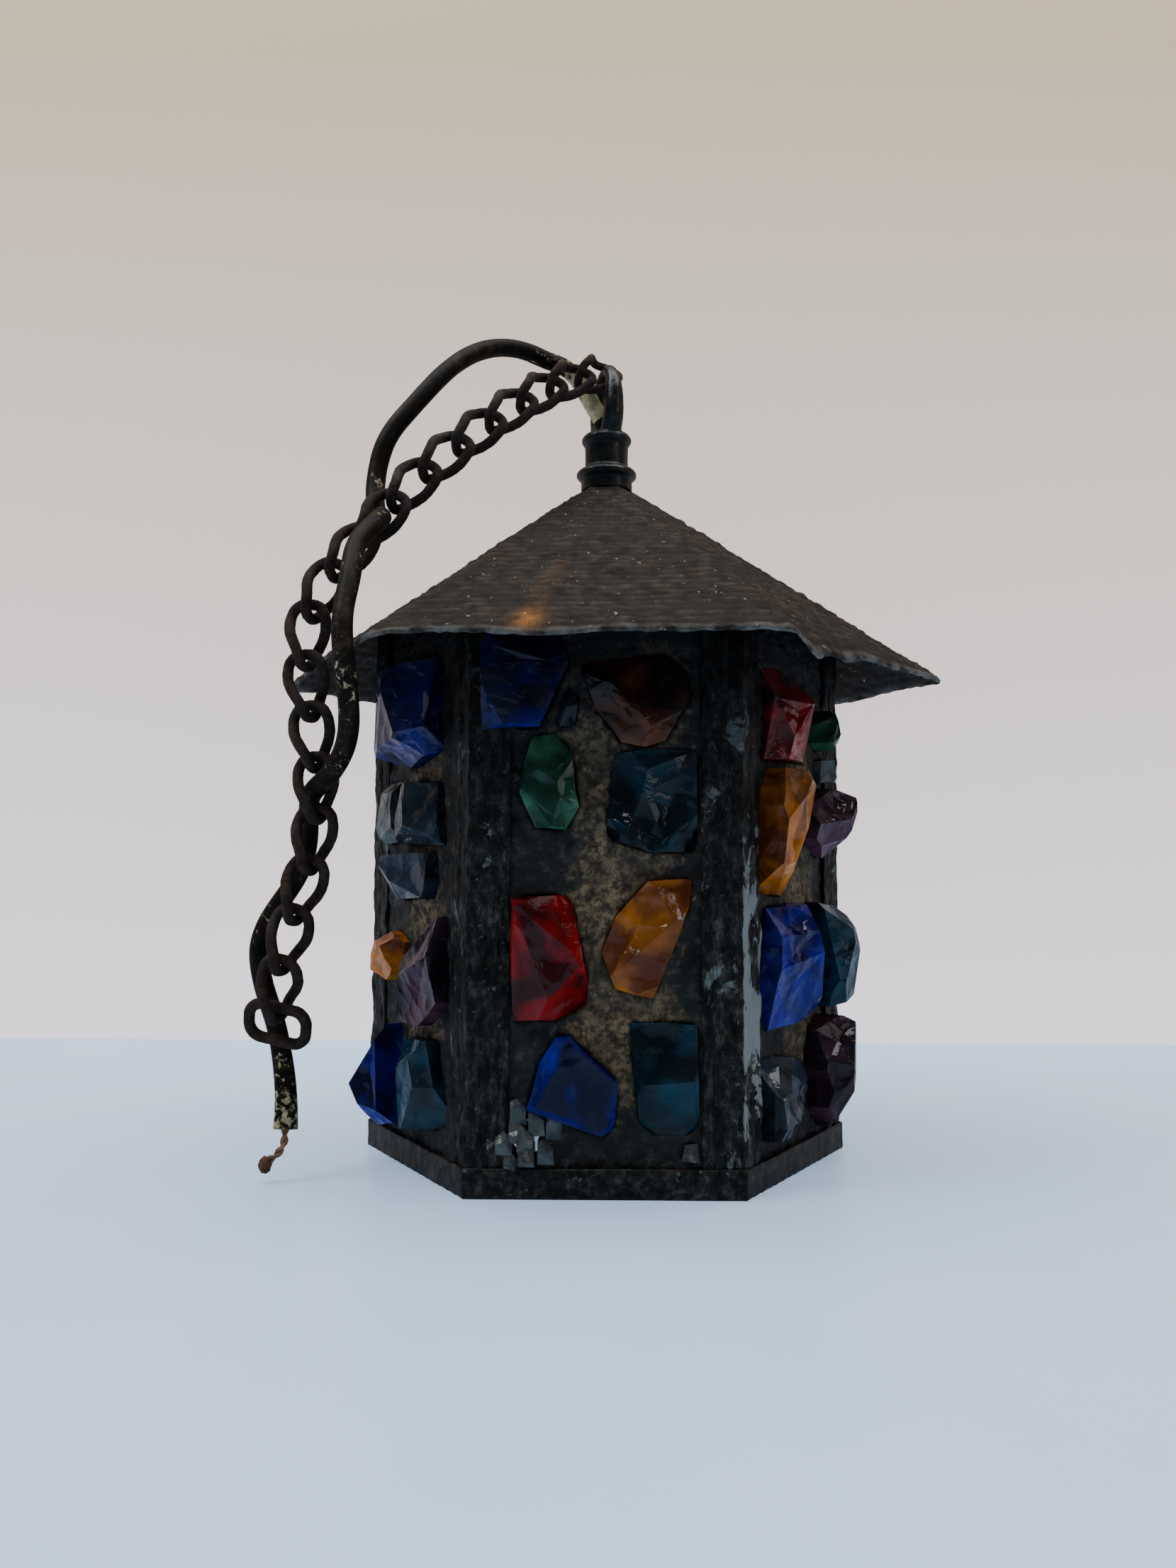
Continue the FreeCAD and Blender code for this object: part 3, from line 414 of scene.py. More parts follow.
def new_object(name, mesh, material, smooth=False):
    """An object in the scene, with one material and smooth or flat shading."""
    obj = bpy.data.objects.new(name, mesh)
    collection.objects.link(obj)
    mesh.materials.clear()
    mesh.materials.append(material)
    mesh.polygons.foreach_set("use_smooth", [smooth] * len(mesh.polygons))
    return obj


def built(edit, name, material, smooth=False):
    """An object from a mesh under construction."""
    mesh = bpy.data.meshes.new(name)
    edit.to_mesh(mesh)
    edit.free()
    return new_object(name, mesh, material, smooth)


def joined_rings(edit, rings):
    """Faces from each ring of vertices to the next."""
    for low, high in zip(rings, rings[1:]):
        for k in range(len(low)):
            after = (k + 1) % len(low)
            edit.faces.new((low[k], low[after], high[after], high[k]))


def stands_for(obj, node, body=BODY):
    """The object takes a CAD node's place, on its body."""
    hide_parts(node)
    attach(obj, body)


def copy_of(node, name, material):
    """A copy of a CAD node's mesh, with its split corners joined."""
    mesh = nodes[node].data.copy()
    mesh.name = name
    edit = bmesh.new()
    edit.from_mesh(mesh)
    bmesh.ops.remove_doubles(edit, verts=edit.verts, dist=1e-6)
    edit.to_mesh(mesh)
    edit.free()
    return new_object(name, mesh, material)


def modified(obj, *modifiers):
    """Add modifiers, each (type, settings), and apply them all."""
    for kind, settings in modifiers:
        modifier = obj.modifiers.new(kind.lower(), kind)
        for name, value in settings.items():
            setattr(modifier, name, value)
    evaluated = obj.evaluated_get(bpy.context.evaluated_depsgraph_get())
    mesh = bpy.data.meshes.new_from_object(evaluated)
    obj.modifiers.clear()
    obj.data = mesh


def remeshed(obj, voxel, rounds):
    """Even quads of that size in mm all over, softened by some rounds of smoothing."""
    modified(
        obj,
        ("REMESH", {"mode": "VOXEL", "voxel_size": voxel * MM, "use_smooth_shade": True}),
        ("SMOOTH", {"factor": 0.5, "iterations": rounds}),
    )


def arrays(obj):
    """Vertex places and normals as arrays."""
    mesh = obj.data
    count = len(mesh.vertices)
    places, normals = np.empty(count * 3), np.empty(count * 3)
    mesh.vertices.foreach_get("co", places)
    mesh.vertex_normals.foreach_get("vector", normals)
    return places.reshape(-1, 3), normals.reshape(-1, 3)


def place_vertices(obj, places):
    """Move every vertex to its row of the array."""
    obj.data.vertices.foreach_set("co", np.asarray(places, np.float32).ravel())
    obj.data.update()


def lumps(places, size, octaves=3):
    """Fractal noise at each place, from about -1 to 1, with lumps of that size in mm."""
    scale = 1 / (size * MM)
    return np.array([noise.fractal(Vector(p) * scale, 0.8, 2.0, octaves) for p in places])


def roughened(obj, *layers):
    """Push the surface along its normals by layers of (lump size, depth), in mm."""
    places, normals = arrays(obj)
    push = sum(lumps(places, size) * depth * MM for size, depth in layers)
    place_vertices(obj, places + normals * push[:, None])


def paint_attribute(obj, name, values):
    """A number for each vertex, which a material can read by its name."""
    layer = obj.data.attributes.new(name, "FLOAT", "POINT")
    layer.data.foreach_set("value", np.asarray(values, np.float32))


def facing_of(x, y):
    """The panel that a place round the axis belongs to."""
    angle = math.degrees(math.atan2(y, x))
    return min(PANELS.values(), key=lambda a: abs((angle - a + 180) % 360 - 180))


def to_panel(places, facing):
    """Places as (across, up, outward from the mortar's face) of one panel."""
    turn = math.radians(facing)
    out, across = (math.cos(turn), math.sin(turn)), (-math.sin(turn), math.cos(turn))
    x, y, z = places[:, 0], places[:, 1], places[:, 2]
    return np.stack(
        [x * across[0] + y * across[1], z, x * out[0] + y * out[1] - MORTAR_FACE], axis=1
    )


def from_panel(u, z, height, facing):
    """The place of a point given as to_panel gives it."""
    turn = math.radians(facing)
    out = MORTAR_FACE + height
    return Vector(
        (out * math.cos(turn) - u * math.sin(turn), out * math.sin(turn) + u * math.cos(turn), z)
    )


# ------------------------ glass


def chunk_outlines(node):
    """Each chunk of a glass node: its panel, outline on the mortar, depth and height."""
    joined = copy_of(node, node + "_islands", None)
    edit = bmesh.new()
    edit.from_mesh(joined.data)
    bpy.data.objects.remove(joined)
    left = set(edit.verts)
    found = []
    while left:
        island, queue = set(), [min(left, key=lambda v: v.index)]
        while queue:
            vert = queue.pop()
            if vert in island:
                continue
            island.add(vert)
            queue.extend(edge.other_vert(vert) for edge in vert.link_edges)
        left -= island
        places = np.array([tuple(v.co) for v in sorted(island, key=lambda v: v.index)])
        facing = facing_of(*places.mean(axis=0)[:2])
        flat = to_panel(places, facing)
        girdle = flat[np.abs(flat[:, 2]) < 0.1 * MM][:, :2]  # where it meets the mortar's face
        middle = girdle.mean(axis=0)
        around = np.arctan2(*(girdle - middle).T[::-1])
        found.append((facing, girdle[np.argsort(around)], flat[:, 2].min(), flat[:, 2].max()))
    edit.free()
    found.sort(key=lambda chunk: (chunk[0], round(chunk[1][0][0], 5), round(chunk[1][0][1], 5)))
    return found


SHARPEST = 1.6  # fold in radians from which a ridge counts fully


def chipped_chunk(edit, facing, outline, back, proud, ridge, rng):
    """One knapped chunk added to a mesh: a prism with its crown chipped away."""
    centre = outline.mean(axis=0)
    size = float(np.abs(outline - centre).max())
    long_side = 9 * MM  # longer ones get a corner between
    corners = []
    for a, b in zip(outline, np.roll(outline, -1, axis=0)):
        corners.append(a)
        if np.linalg.norm(b - a) > long_side:
            share = rng.uniform(0.35, 0.65)
            jitter = np.array([rng.uniform(-0.5, 0.5), rng.uniform(-0.5, 0.5)]) * MM
            corners.append(a + (b - a) * share + jitter)
    corners = np.array(corners)
    # height and size of the outline there, from the back to the crown
    levels = [(back, 0.87), (-0.4 * MM, 1.005), (proud * 0.55, 1.0), (proud * 1.08, 0.93)]
    piece = bmesh.new()
    rings = []
    for height, scale in levels:
        ring = []
        for u, z in centre + (corners - centre) * scale:
            ring.append(piece.verts.new((u, z, height)))
        rings.append(ring)
    piece.faces.new(rings[0][::-1])
    piece.faces.new(rings[-1])
    joined_rings(piece, rings)

    def chip(point, away):
        """Take off everything beyond a plane."""
        hit = bmesh.ops.bisect_plane(
            piece, geom=piece.verts[:] + piece.edges[:] + piece.faces[:], dist=1e-7,
            plane_co=point, plane_no=away, clear_outer=True,
        )
        if any(isinstance(cut, bmesh.types.BMEdge) for cut in hit["geom_cut"]):
            bmesh.ops.holes_fill(piece, edges=piece.edges[:], sides=0)

    for _ in range(rng.randint(2, 3)):
        turn, tilt = rng.uniform(0, 2 * math.pi), math.radians(rng.uniform(6, 20))
        flat = math.sin(tilt)
        away = Vector((math.cos(turn) * flat, math.sin(turn) * flat, math.cos(tilt)))
        off_centre = np.array([rng.uniform(-0.3, 0.3), rng.uniform(-0.3, 0.3)]) * size
        chip(Vector((*(centre + off_centre), proud * rng.uniform(0.78, 1.0))), away)
    for _ in range(rng.randint(6, 9)):
        at = corners[rng.randrange(len(corners))]
        outward = Vector((*(at - centre), 0)).normalized()
        outward.rotate(Matrix.Rotation(rng.uniform(-0.6, 0.6), 3, "Z"))
        tilt = math.radians(rng.uniform(24, 56))
        away = outward * math.sin(tilt) + Vector((0, 0, math.cos(tilt)))
        inset = rng.uniform(0.0, 0.25)
        spot = Vector((*(at + (centre - at) * inset), proud * rng.uniform(0.35, 0.8)))
        chip(spot, away)

    broad = [
        f for f in piece.faces
        if f.calc_center_median().z > 0.5 * MM and f.calc_area() > 9 * MM * MM
    ]
    for face in broad:  # each one hollowed to a scoop
        depth = 0.085 * math.sqrt(face.calc_area()) * rng.uniform(0.5, 1.2)
        normal = face.normal.copy()
        middle = bmesh.ops.poke(piece, faces=[face])["verts"][0]
        border = rng.choice([e.other_vert(middle) for e in middle.link_edges]).co
        middle.co += (border - middle.co) * rng.uniform(0, 0.4) - normal * depth
    bmesh.ops.triangulate(piece, faces=piece.faces[:])
    bmesh.ops.recalc_face_normals(piece, faces=piece.faces[:])
    vert_map = {}
    for vert in piece.verts:
        fold = max((e.calc_face_angle(0) for e in vert.link_edges), default=0)
        new = edit.verts.new(from_panel(*vert.co, facing))
        new[ridge] = min(fold / SHARPEST, 1) * (vert.co.z > 0) * rng.uniform(0, 1)
        vert_map[vert] = new
    for face in piece.faces:
        edit.faces.new([vert_map[v] for v in face.verts])
    piece.free()


def crushed(outline, proud):
    """A heap of splinters in place of one chunk, each (outline, height)."""
    middle = outline.mean(axis=0)
    heap = []
    for k in range(9):
        away = 0.24 * math.sqrt(k) * np.abs(outline - middle).max() * 2
        spiral = 2.4 * k  # the golden angle, so no two lie in a row
        spot = middle + away * np.array([math.cos(spiral), math.sin(spiral)])
        heap.append((spot + (outline - middle) * 0.55, proud * (1.1 - 0.06 * k)))
    return heap


def glass_chunks():
    """All the glass, one object per colour, and each panel's outlines for the mortar."""
    outlines = {}
    front = PANELS["panel_front"]
    spread = 9.5 * MM  # of the front's upper cobalt piece, to its left and over the post
    upper = 0.13  # height in metres
    standing_out = {front: 1.0, PANELS["panel_front_right"]: 1.5, PANELS["panel_front_left"]: 1.5}
    for colour in GLASS:
        node = "glass_" + colour
        chunks = chunk_outlines(node)
        edit = bmesh.new()
        ridge = edit.verts.layers.float.new("ridge")
        rng = random.Random(colour)
        for facing, outline, back, proud in chunks:
            middle = outline.mean(axis=0)
            proud *= standing_out.get(facing, 1.2)
            if facing == front and colour == "cobalt" and middle[1] > upper:
                outline = outline - np.outer(outline[:, 0] < middle[0], (spread, 0))
            outlines.setdefault(facing, []).append(outline)
            heap = [(outline, proud)]
            if facing == front and colour == "clear" and middle[0] < 0:
                heap = crushed(outline, proud)
            for part, height in heap:
                chipped_chunk(edit, facing, part, back, height, ridge, rng)
        bmesh.ops.recalc_face_normals(edit, faces=edit.faces[:])
        glass = colour + "_glass"
        clear = 0.7 if colour == "clear" else 0.42
        material = glass_material(glass, *GLASS_COLOURS[colour], clear)
        stands_for(built(edit, colour + "_chunks", material), node)
    return outlines


# ------------------------ mortar panels


def points_on(outline, step):
    """Points along a closed outline."""
    for a, b in zip(outline, np.roll(outline, -1, axis=0)):
        count = max(1, int(np.linalg.norm(b - a) / step))
        for k in range(count):
            yield a + (b - a) * k / count


def mortar_panels(outlines):
    """Each slab as rough mortar, swelling round its glass and dark towards its edges."""
    material = mortar_material()
    half_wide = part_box("panel_front")[1].x
    low, high = (corner.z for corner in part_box("panel_front"))
    for node, facing in PANELS.items():
        obj = copy_of(node, node + "_mortar", material)
        remeshed(obj, 1.15, 1)
        places, _ = arrays(obj)
        flat = to_panel(places, facing)
        rim = [p for outline in outlines.get(facing, []) for p in points_on(outline, 1.2 * MM)]
        tree = kdtree.KDTree(len(rim))
        for k, (u, z) in enumerate(rim):
            tree.insert((u, z, 0), k)
        tree.balance()
        near = np.array([tree.find((u, z, 0))[2] for u, z, _ in flat])
        outer = flat[:, 2] > -1.6 * MM
        swell = np.exp(-((near / (2.6 * MM)) ** 2))
        grain = lumps(places, 3.0, 4) * 0.85 + lumps(places, 13, 3) * 1.3
        to_side = half_wide - np.abs(flat[:, 0])
        to_end = np.minimum(flat[:, 1] - low, high - flat[:, 1])
        held = np.clip(np.minimum(to_side, to_end) / (2.5 * MM), 0, 1)
        lift = np.where(outer, grain * 0.55 + swell * 0.9, 0) * MM * held
        turn = math.radians(facing)
        outward = np.array([math.cos(turn), math.sin(turn), 0])
        place_vertices(obj, places + outward * lift[:, None])
        from_left = half_wide + flat[:, 0]
        from_right = half_wide - flat[:, 0]
        side_dark = np.clip(1.35 - np.minimum(from_left / 34, from_right / 20) / MM, 0, 1)
        from_foot = np.clip(1.25 - (flat[:, 1] - low) / (30 * MM), 0, 1)
        end_dark = np.maximum(from_foot, np.clip(1.15 - to_end / (20 * MM), 0, 1))
        edge = np.maximum(side_dark, end_dark) + (0.14 if node != "panel_front" else 0.04)
        edge = np.where(outer, edge, 0.45)
        paint_attribute(obj, "edge", edge)
        stands_for(obj, node)


# ------------------------ sheet metal


def posts():
    """The corner posts, beaten and crusted, the front ones most flaked."""
    flaked = {1: 0.02, 2: 0.0, 3: 0.0, 4: 0.0, 5: 0.03, 6: 0.03}
    seam_at, seam_width = 5.2 * MM, 0.6 * MM
    for number, share in flaked.items():
        node = f"corner_post_{number}"
        material = painted_material(f"post_paint_{number}", share)
        obj = copy_of(node, f"post_{number}", material)
        remeshed(obj, 0.62, 1)
        places, normals = arrays(obj)
        turn = math.radians(60 * (number - 1))
        out = np.array([math.cos(turn), math.sin(turn)])
        beyond = places[:, :2] @ np.array([-out[1], out[0]])
        long = places * np.array([1, 1, 0.35])
        seams = -np.exp(-(((np.abs(beyond) - seam_at) / seam_width) ** 2))
        push = seams * 0.5 + lumps(long, 3.4, 4) * 0.55 + lumps(places, 19, 3) * 0.55
        outside = normals[:, :2] @ out > 0.2
        push = np.where(outside, push, 0)
        place_vertices(obj, places + normals * (push * MM)[:, None])
        if number == 6:  # a pale coat shows on one leg, in its lower part
            height = places[:, 2]
            lower = np.clip((0.108 - height) / 0.03, 0, 1) * np.clip((height - 0.012) / 0.01, 0, 1)
            paint_attribute(obj, "bare", lower * (beyond > 0))
        stands_for(obj, node)


def band():
    """The band round the foot, softened at its corners and lightly dented."""
    obj = copy_of("base_rim", "foot_band", painted_material("band_paint", -0.05, 0.3, False))
    remeshed(obj, 0.7, 1)
    places, normals = arrays(obj)
    off_table = places[:, 2] > 0.3 * MM
    push = lumps(places, 11, 3) * 0.22 * off_table
    place_vertices(obj, places + normals * (push * MM)[:, None])
    stands_for(obj, "base_rim")


# ------------------------ roof


def dash_relief(along, across, sector):
    """The embossing: rows of short raised dashes, staggered at random."""
    row_pitch, dash = 4.0 * MM, 9.0 * MM
    row = int(along // row_pitch)
    shift = random.Random(row * 7 + sector).random()
    x = across / dash + shift
    cell = math.floor(x)
    size = random.Random(cell * 131 + row * 17 + sector).uniform(0.35, 1)
    lengthwise = math.sin(math.pi * (x - cell)) ** 0.6
    crosswise = math.sin(math.pi * (along / row_pitch - row))
    return lengthwise * crosswise * size


def roof():
    """The embossed sheet: six facets with softened folds, a ragged, drooping rim."""
    source = np.array([tuple(v.co) for v in nodes["roof"].data.vertices])
    radii = np.hypot(source[:, 0], source[:, 1])
    tip = source[np.argmax(radii)]
    radius, turn = radii.max(), math.atan2(tip[1], tip[0])
    low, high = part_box("roof")
    edge_z, top_z = low.z, high.z
    collar = 9 * MM
    slope_long = math.hypot(radius - collar, top_z - edge_z)
    droops = [  # direction and half width in degrees, depth in mm
        (-58, 4, 4.6), (-48, 7, 3.6), (-33, 10, 2), (-176, 8, 2.5), (60, 10, 2), (128, 12, 2.5),
    ]
    leaning = (radius - collar) / (top_z - edge_z) * 0.87  # rise of a facet's normal
    rust_angle = math.radians(-103)
    rows, marks = [], []  # places, and each place's (hollow, rim, rust); hollow sets the painted shade
    for i in range(ROOF_ROWS + 1):
        share = i / ROOF_ROWS
        ring = []
        for j in range(6 * ROOF_COLUMNS):
            sector, part = divmod(j / ROOF_COLUMNS, 1)
            sector = int(sector)
            a0 = turn + sector * math.pi / 3
            start = Vector((math.cos(a0), math.sin(a0), 0))
            end = Vector((math.cos(a0 + math.pi / 3), math.sin(a0 + math.pi / 3), 0))
            ray = start.lerp(end, part)
            size = collar + (radius - collar) * share
            fold = min(part, 1 - part) * size
            soft = max(0, 1 - fold / (7 * MM)) ** 2 * 1.1 * MM * min(1, share * 4)
            place = ray * (size - soft)
            place.z = top_z + (edge_z - top_z) * share
            angle = math.degrees(math.atan2(place.y, place.x))
            hang = 0
            for at, wide, depth in droops:
                off = (angle - at + 180) % 360 - 180
                hang += depth * math.exp(-((off / wide) ** 2))
            lip = max(0, (share - 0.84) / 0.16) ** 2
            wave = noise.noise(Vector((place.x, place.y, 0)) * 28) * 1.6
            place.z -= (hang + wave) * lip * MM
            across = (part - 0.5) * size
            raised = dash_relief(share * slope_long, across, sector)
            flakes = noise.fractal(place * 160, 0.7, 2, 4)
            step = 0.22 if flakes > 0.15 else 0
            broad = noise.noise(place * 45)
            normal = Vector((ray.x, ray.y, leaning)).normalized()
            calm = min(1, share * 9)
            place += normal * ((raised * 0.8 + step + broad * 0.5 + flakes * 0.15) * MM * calm)
            if i == ROOF_ROWS:
                ragged = noise.noise(place * 220) * 0.5 + noise.noise(place * 70) * 0.5
                place += ray.normalized() * ragged * MM
            ring.append(place)
            rim = max(0, (share - 0.975) / 0.025)
            spot = abs(math.atan2(place.y, place.x) - rust_angle) * math.hypot(place.x, place.y)
            streak = math.exp(-((spot / (3.6 * MM)) ** 2))
            strong = math.exp(-(((share - 0.945) / 0.05) ** 2)) + 0.1 * (0.6 < share < 0.93)
            marks.append((1 - raised, rim, min(1, streak * strong)))
        rows.append(ring)

    edit = bmesh.new()
    layers = [edit.verts.layers.float.new(name) for name in ("hollow", "rim", "rust")]
    count = 6 * ROOF_COLUMNS
    top, under = [], []
    drop = Vector((0, 0, ROOF_SHEET))
    for i, ring in enumerate(rows):
        top.append([edit.verts.new(p) for p in ring])
        under.append([edit.verts.new(p - drop - (p * Vector((1, 1, 0))) * 0.004) for p in ring])
        for j in range(count):
            above = marks[i * count + j]
            # the underside gets a middling share of the painted shade
            below = (0.5, above[1], 0)
            for layer, over, beneath in zip(layers, above, below):
                top[i][j][layer], under[i][j][layer] = over, beneath
    for i in range(ROOF_ROWS):
        for j in range(count):
            k = (j + 1) % count
            edit.faces.new((top[i][j], top[i + 1][j], top[i + 1][k], top[i][k]))
            edit.faces.new((under[i][k], under[i + 1][k], under[i + 1][j], under[i][j]))
    for j in range(count):
        k = (j + 1) % count
        edit.faces.new((top[-1][j], under[-1][j], under[-1][k], top[-1][k]))
    hole = 5.2 * MM
    lip_top, lip_under = [], []
    for j in range(count):
        way = rows[0][j].to_2d().normalized()
        lip_top.append(edit.verts.new((way.x * hole, way.y * hole, top_z)))
        lip_under.append(edit.verts.new((way.x * hole, way.y * hole, top_z - ROOF_SHEET)))
    for j in range(count):
        k = (j + 1) % count
        edit.faces.new((lip_top[j], top[0][j], top[0][k], lip_top[k]))
        edit.faces.new((lip_under[k], under[0][k], under[0][j], lip_under[j]))
        edit.faces.new((lip_under[j], lip_top[j], lip_top[k], lip_under[k]))
    bmesh.ops.recalc_face_normals(edit, faces=edit.faces[:])
    stands_for(built(edit, "embossed_roof", roof_material(), smooth=True), "roof")


# ------------------------ finial and chain


def finial():
    """The cast finial, a little lumpy."""
    obj = copy_of("loop_finial", "cast_finial", finial_material())
    remeshed(obj, 0.42, 3)
    roughened(obj, (6, 0.1), (1.8, 0.04))
    stands_for(obj, "loop_finial")


def chain():
    """The links, rounder than the CAD's and pitted with rust. The first is worn thinner."""
    material = rust_material()
    for node, body in zip(LINKS, LINK_BODIES):
        obj = copy_of(node, node.replace("chain_", "rusty_"), material)
        remeshed(obj, 0.42, 2)
        places, normals = arrays(obj)
        thicker, pitted = (-0.08, 0.04) if node == LINKS[0] else (0.1, 0.1)
        swell = thicker + lumps(places, 2.2, 3) * pitted
        place_vertices(obj, places + normals * (swell * MM)[:, None])
        stands_for(obj, node, body)


# ------------------------ flex


def centre_line(node, start, way):
    """The middle of a strand, found by walking from ring to ring of its mesh."""
    places = np.array([tuple(v.co) for v in nodes[node].data.vertices])
    stride, reach = 4.0 * MM, 5.0 * MM
    line = []
    at, way = np.array(start), np.array(way, float)
    while True:
        off = places - at
        ahead = off @ way
        sideways = np.linalg.norm(off - ahead[:, None] * way, axis=1)
        ring = places[(np.abs(ahead - stride * bool(line)) < 1.6 * MM) & (sideways < reach)]
        if len(ring) < 3:
            return np.array(line)
        ring = np.unique(np.round(ring, 6), axis=0)
        centre = ring.mean(axis=0)
        if line:
            way = (centre - line[-1]) / np.linalg.norm(centre - line[-1])
        line.append(centre)
        at = centre


def smooth_line(line, step):
    """An even, finer line through the points."""
    lengths = np.concatenate([[0], np.cumsum(np.linalg.norm(np.diff(line, axis=0), axis=1))])
    at = np.arange(0, lengths[-1], step)
    fine = np.stack([np.interp(at, lengths, line[:, k]) for k in range(3)], axis=1)
    for _ in range(int(2.2 * MM / step) + 2):
        fine[1:-1] = (fine[:-2] + 2 * fine[1:-1] + fine[2:]) / 4
    return fine


def sides_along(line):
    """Two directions across the line at each point, turning with it."""
    ways = np.gradient(line, axis=0)
    ways /= np.linalg.norm(ways, axis=1)[:, None]
    across = np.cross(ways[0], [0, 1, 0])
    sides = []
    for way in ways:
        across = across - way * (across @ way)
        across /= np.linalg.norm(across)
        sides.append((across.copy(), np.cross(way, across)))
    return sides


def strand_mesh(name, line, sides, radii, material, wear=None, hollow=None):
    """A round strand with a ring at each point. With hollow radii it is a tube."""
    count = 20
    edit = bmesh.new()
    layer = edit.verts.layers.float.new("wear")

    def ring(k, radius):
        (a, b), (wide, thick) = sides[k], radius
        made = []
        for s in range(count):
            turn = 2 * math.pi * s / count
            place = line[k] + a * math.cos(turn) * wide + b * math.sin(turn) * thick
            vert = edit.verts.new(place)
            vert[layer] = wear[k] if wear is not None else 0
            made.append(vert)
        return made

    outer = [ring(k, radii[k]) for k in range(len(line))]
    joined_rings(edit, outer)
    if hollow is None:
        edit.faces.new(outer[0][::-1])
        edit.faces.new(outer[-1])
    else:
        inner = [ring(k, hollow[k]) for k in range(len(line))]
        joined_rings(edit, inner)
        joined_rings(edit, [outer[0], inner[0]])
        joined_rings(edit, [inner[-1], outer[-1]])
    bmesh.ops.recalc_face_normals(edit, faces=edit.faces[:])
    for edge in edit.edges:
        edge.smooth = edge.calc_face_angle(0) < math.radians(50)
    return built(edit, name, material, smooth=True)


def flex():
    """The flex in stretches, each from one link's middle to the next one's."""
    start = (0, 0, 0.151)  # the flex's inner end, in the tube
    out_of_finial, arch_over = 0.243, 0.2475  # heights in metres
    sheath_line = centre_line("cord_sheath", start, (0, 0, 1))
    core_line = centre_line("cord_core", start, (0, 0, 1))
    step = 1.0 * MM
    line = smooth_line(sheath_line, step)
    sides = sides_along(line)
    total = len(line)

    middles = []
    for node in LINKS[:-1]:
        low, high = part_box(node)
        middles.append((low + high) / 2)
    first_out = int(np.argmax(line[:, 2] > out_of_finial))
    cuts = [0, first_out]
    for k, middle in enumerate(middles):
        way = (middles[min(k + 1, len(middles) - 1)] - middles[max(k - 1, 0)]).normalized()
        offset = (line - np.array(middle)) @ np.array(way)
        begin = cuts[-1] + 6
        ahead = np.where(offset[begin:] > 0)[0]
        passing = begin + (int(ahead[0]) if len(ahead) else 6)
        cuts.append(min(passing, total - 8))
    cuts.append(total - 1)

    arch = (line[:, 2] > arch_over) & (line[:, 0] > -0.03)
    cut_end = np.exp(-(((np.arange(total) - total) * step) / (14 * MM)) ** 2)
    wear = np.clip(arch * 0.75 * np.exp(-(line[:, 0] / 0.02) ** 2) + 0.35 * cut_end, 0, 1)
    wear += np.array([noise.noise(Vector(p) * 60) for p in line]) * 0.22
    wear += np.where(line[:, 2] < 0.215, 0.14, 0.0)
    pressed = 26  # steps, at the cut end
    flat = np.clip((np.arange(total) - (total - pressed)) / pressed, 0, 1) ** 1.5
    thick = FLEX_RADIUS * (1 + 0.03 * np.array([noise.noise(Vector(p) * 130) for p in line]))
    radii = np.stack([thick * (1 + 0.3 * flat), thick * (1 - 0.18 * flat)], axis=1)
    hollow = radii - FLEX_WALL
    material = sheath_material()
    bodies = [BODY] + LINK_BODIES[:-1]
    pieces = []
    for k, (low, high) in enumerate(zip(cuts, cuts[1:])):
        part = slice(low, high + 1)
        obj = strand_mesh(
            f"flex_{k:02d}", line[part], sides[part], radii[part], material,
            wear[part], hollow[part],
        )
        pieces.append((obj, k, line[low], line[high]))
    for obj, k, low, high in pieces:
        if k == 0:
            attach(obj, BODY)
            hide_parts("cord_sheath")
        elif k <= len(LINKS) - 1:
            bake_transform(obj)
        else:
            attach(obj, bodies[-1])

    core_material = plain_material("core_insulation", *CORE_COLOURS, 3, 0.6)
    fine = smooth_line(core_line, step)
    core_sides = sides_along(fine)
    last_part = len(fine) - int(24 * MM / step)
    parts = [
        ("cores_in_tube", slice(0, first_out), BODY),
        ("cores_at_cut", slice(last_part, len(fine)), bodies[-1]),
    ]
    for name, part, body in parts:
        stretch, across = fine[part], core_sides[part]
        twist = np.arange(len(stretch)) * step / (7 * MM) * 2 * math.pi  # a turn in 7 mm
        for phase in (0, math.pi):
            angle = twist + phase
            offset = np.array([
                a * math.cos(t) + b * math.sin(t) for (a, b), t in zip(across, angle)
            ])
            radii = np.full((len(stretch), 2), CORE_RADIUS)
            strand = strand_mesh(
                f"{name}_{int(phase > 0)}", stretch + offset * CORE_RADIUS, across, radii,
                core_material,
            )
            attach(strand, body)
        if body == BODY:
            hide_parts("cord_core")
    tip = fine[-1]
    edit = bmesh.new()
    bmesh.ops.create_icosphere(edit, subdivisions=4, radius=1.9 * MM)
    copper = plain_material(
        "old_copper", (0.06, 0.025, 0.012), (0.22, 0.09, 0.045), 1.5, 0.6, 0.5, 0.3
    )
    blob = built(edit, "solder_blob", copper, smooth=True)
    places, normals = arrays(blob)
    places = places * np.array([1, 1, 1.25]) + tip + np.array([0, 0, -1.0 * MM])
    place_vertices(blob, places + normals * (lumps(places, 1.6) * 0.5 * MM)[:, None])
    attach(blob, bodies[-1])


# ------------------------ what the CAD shows


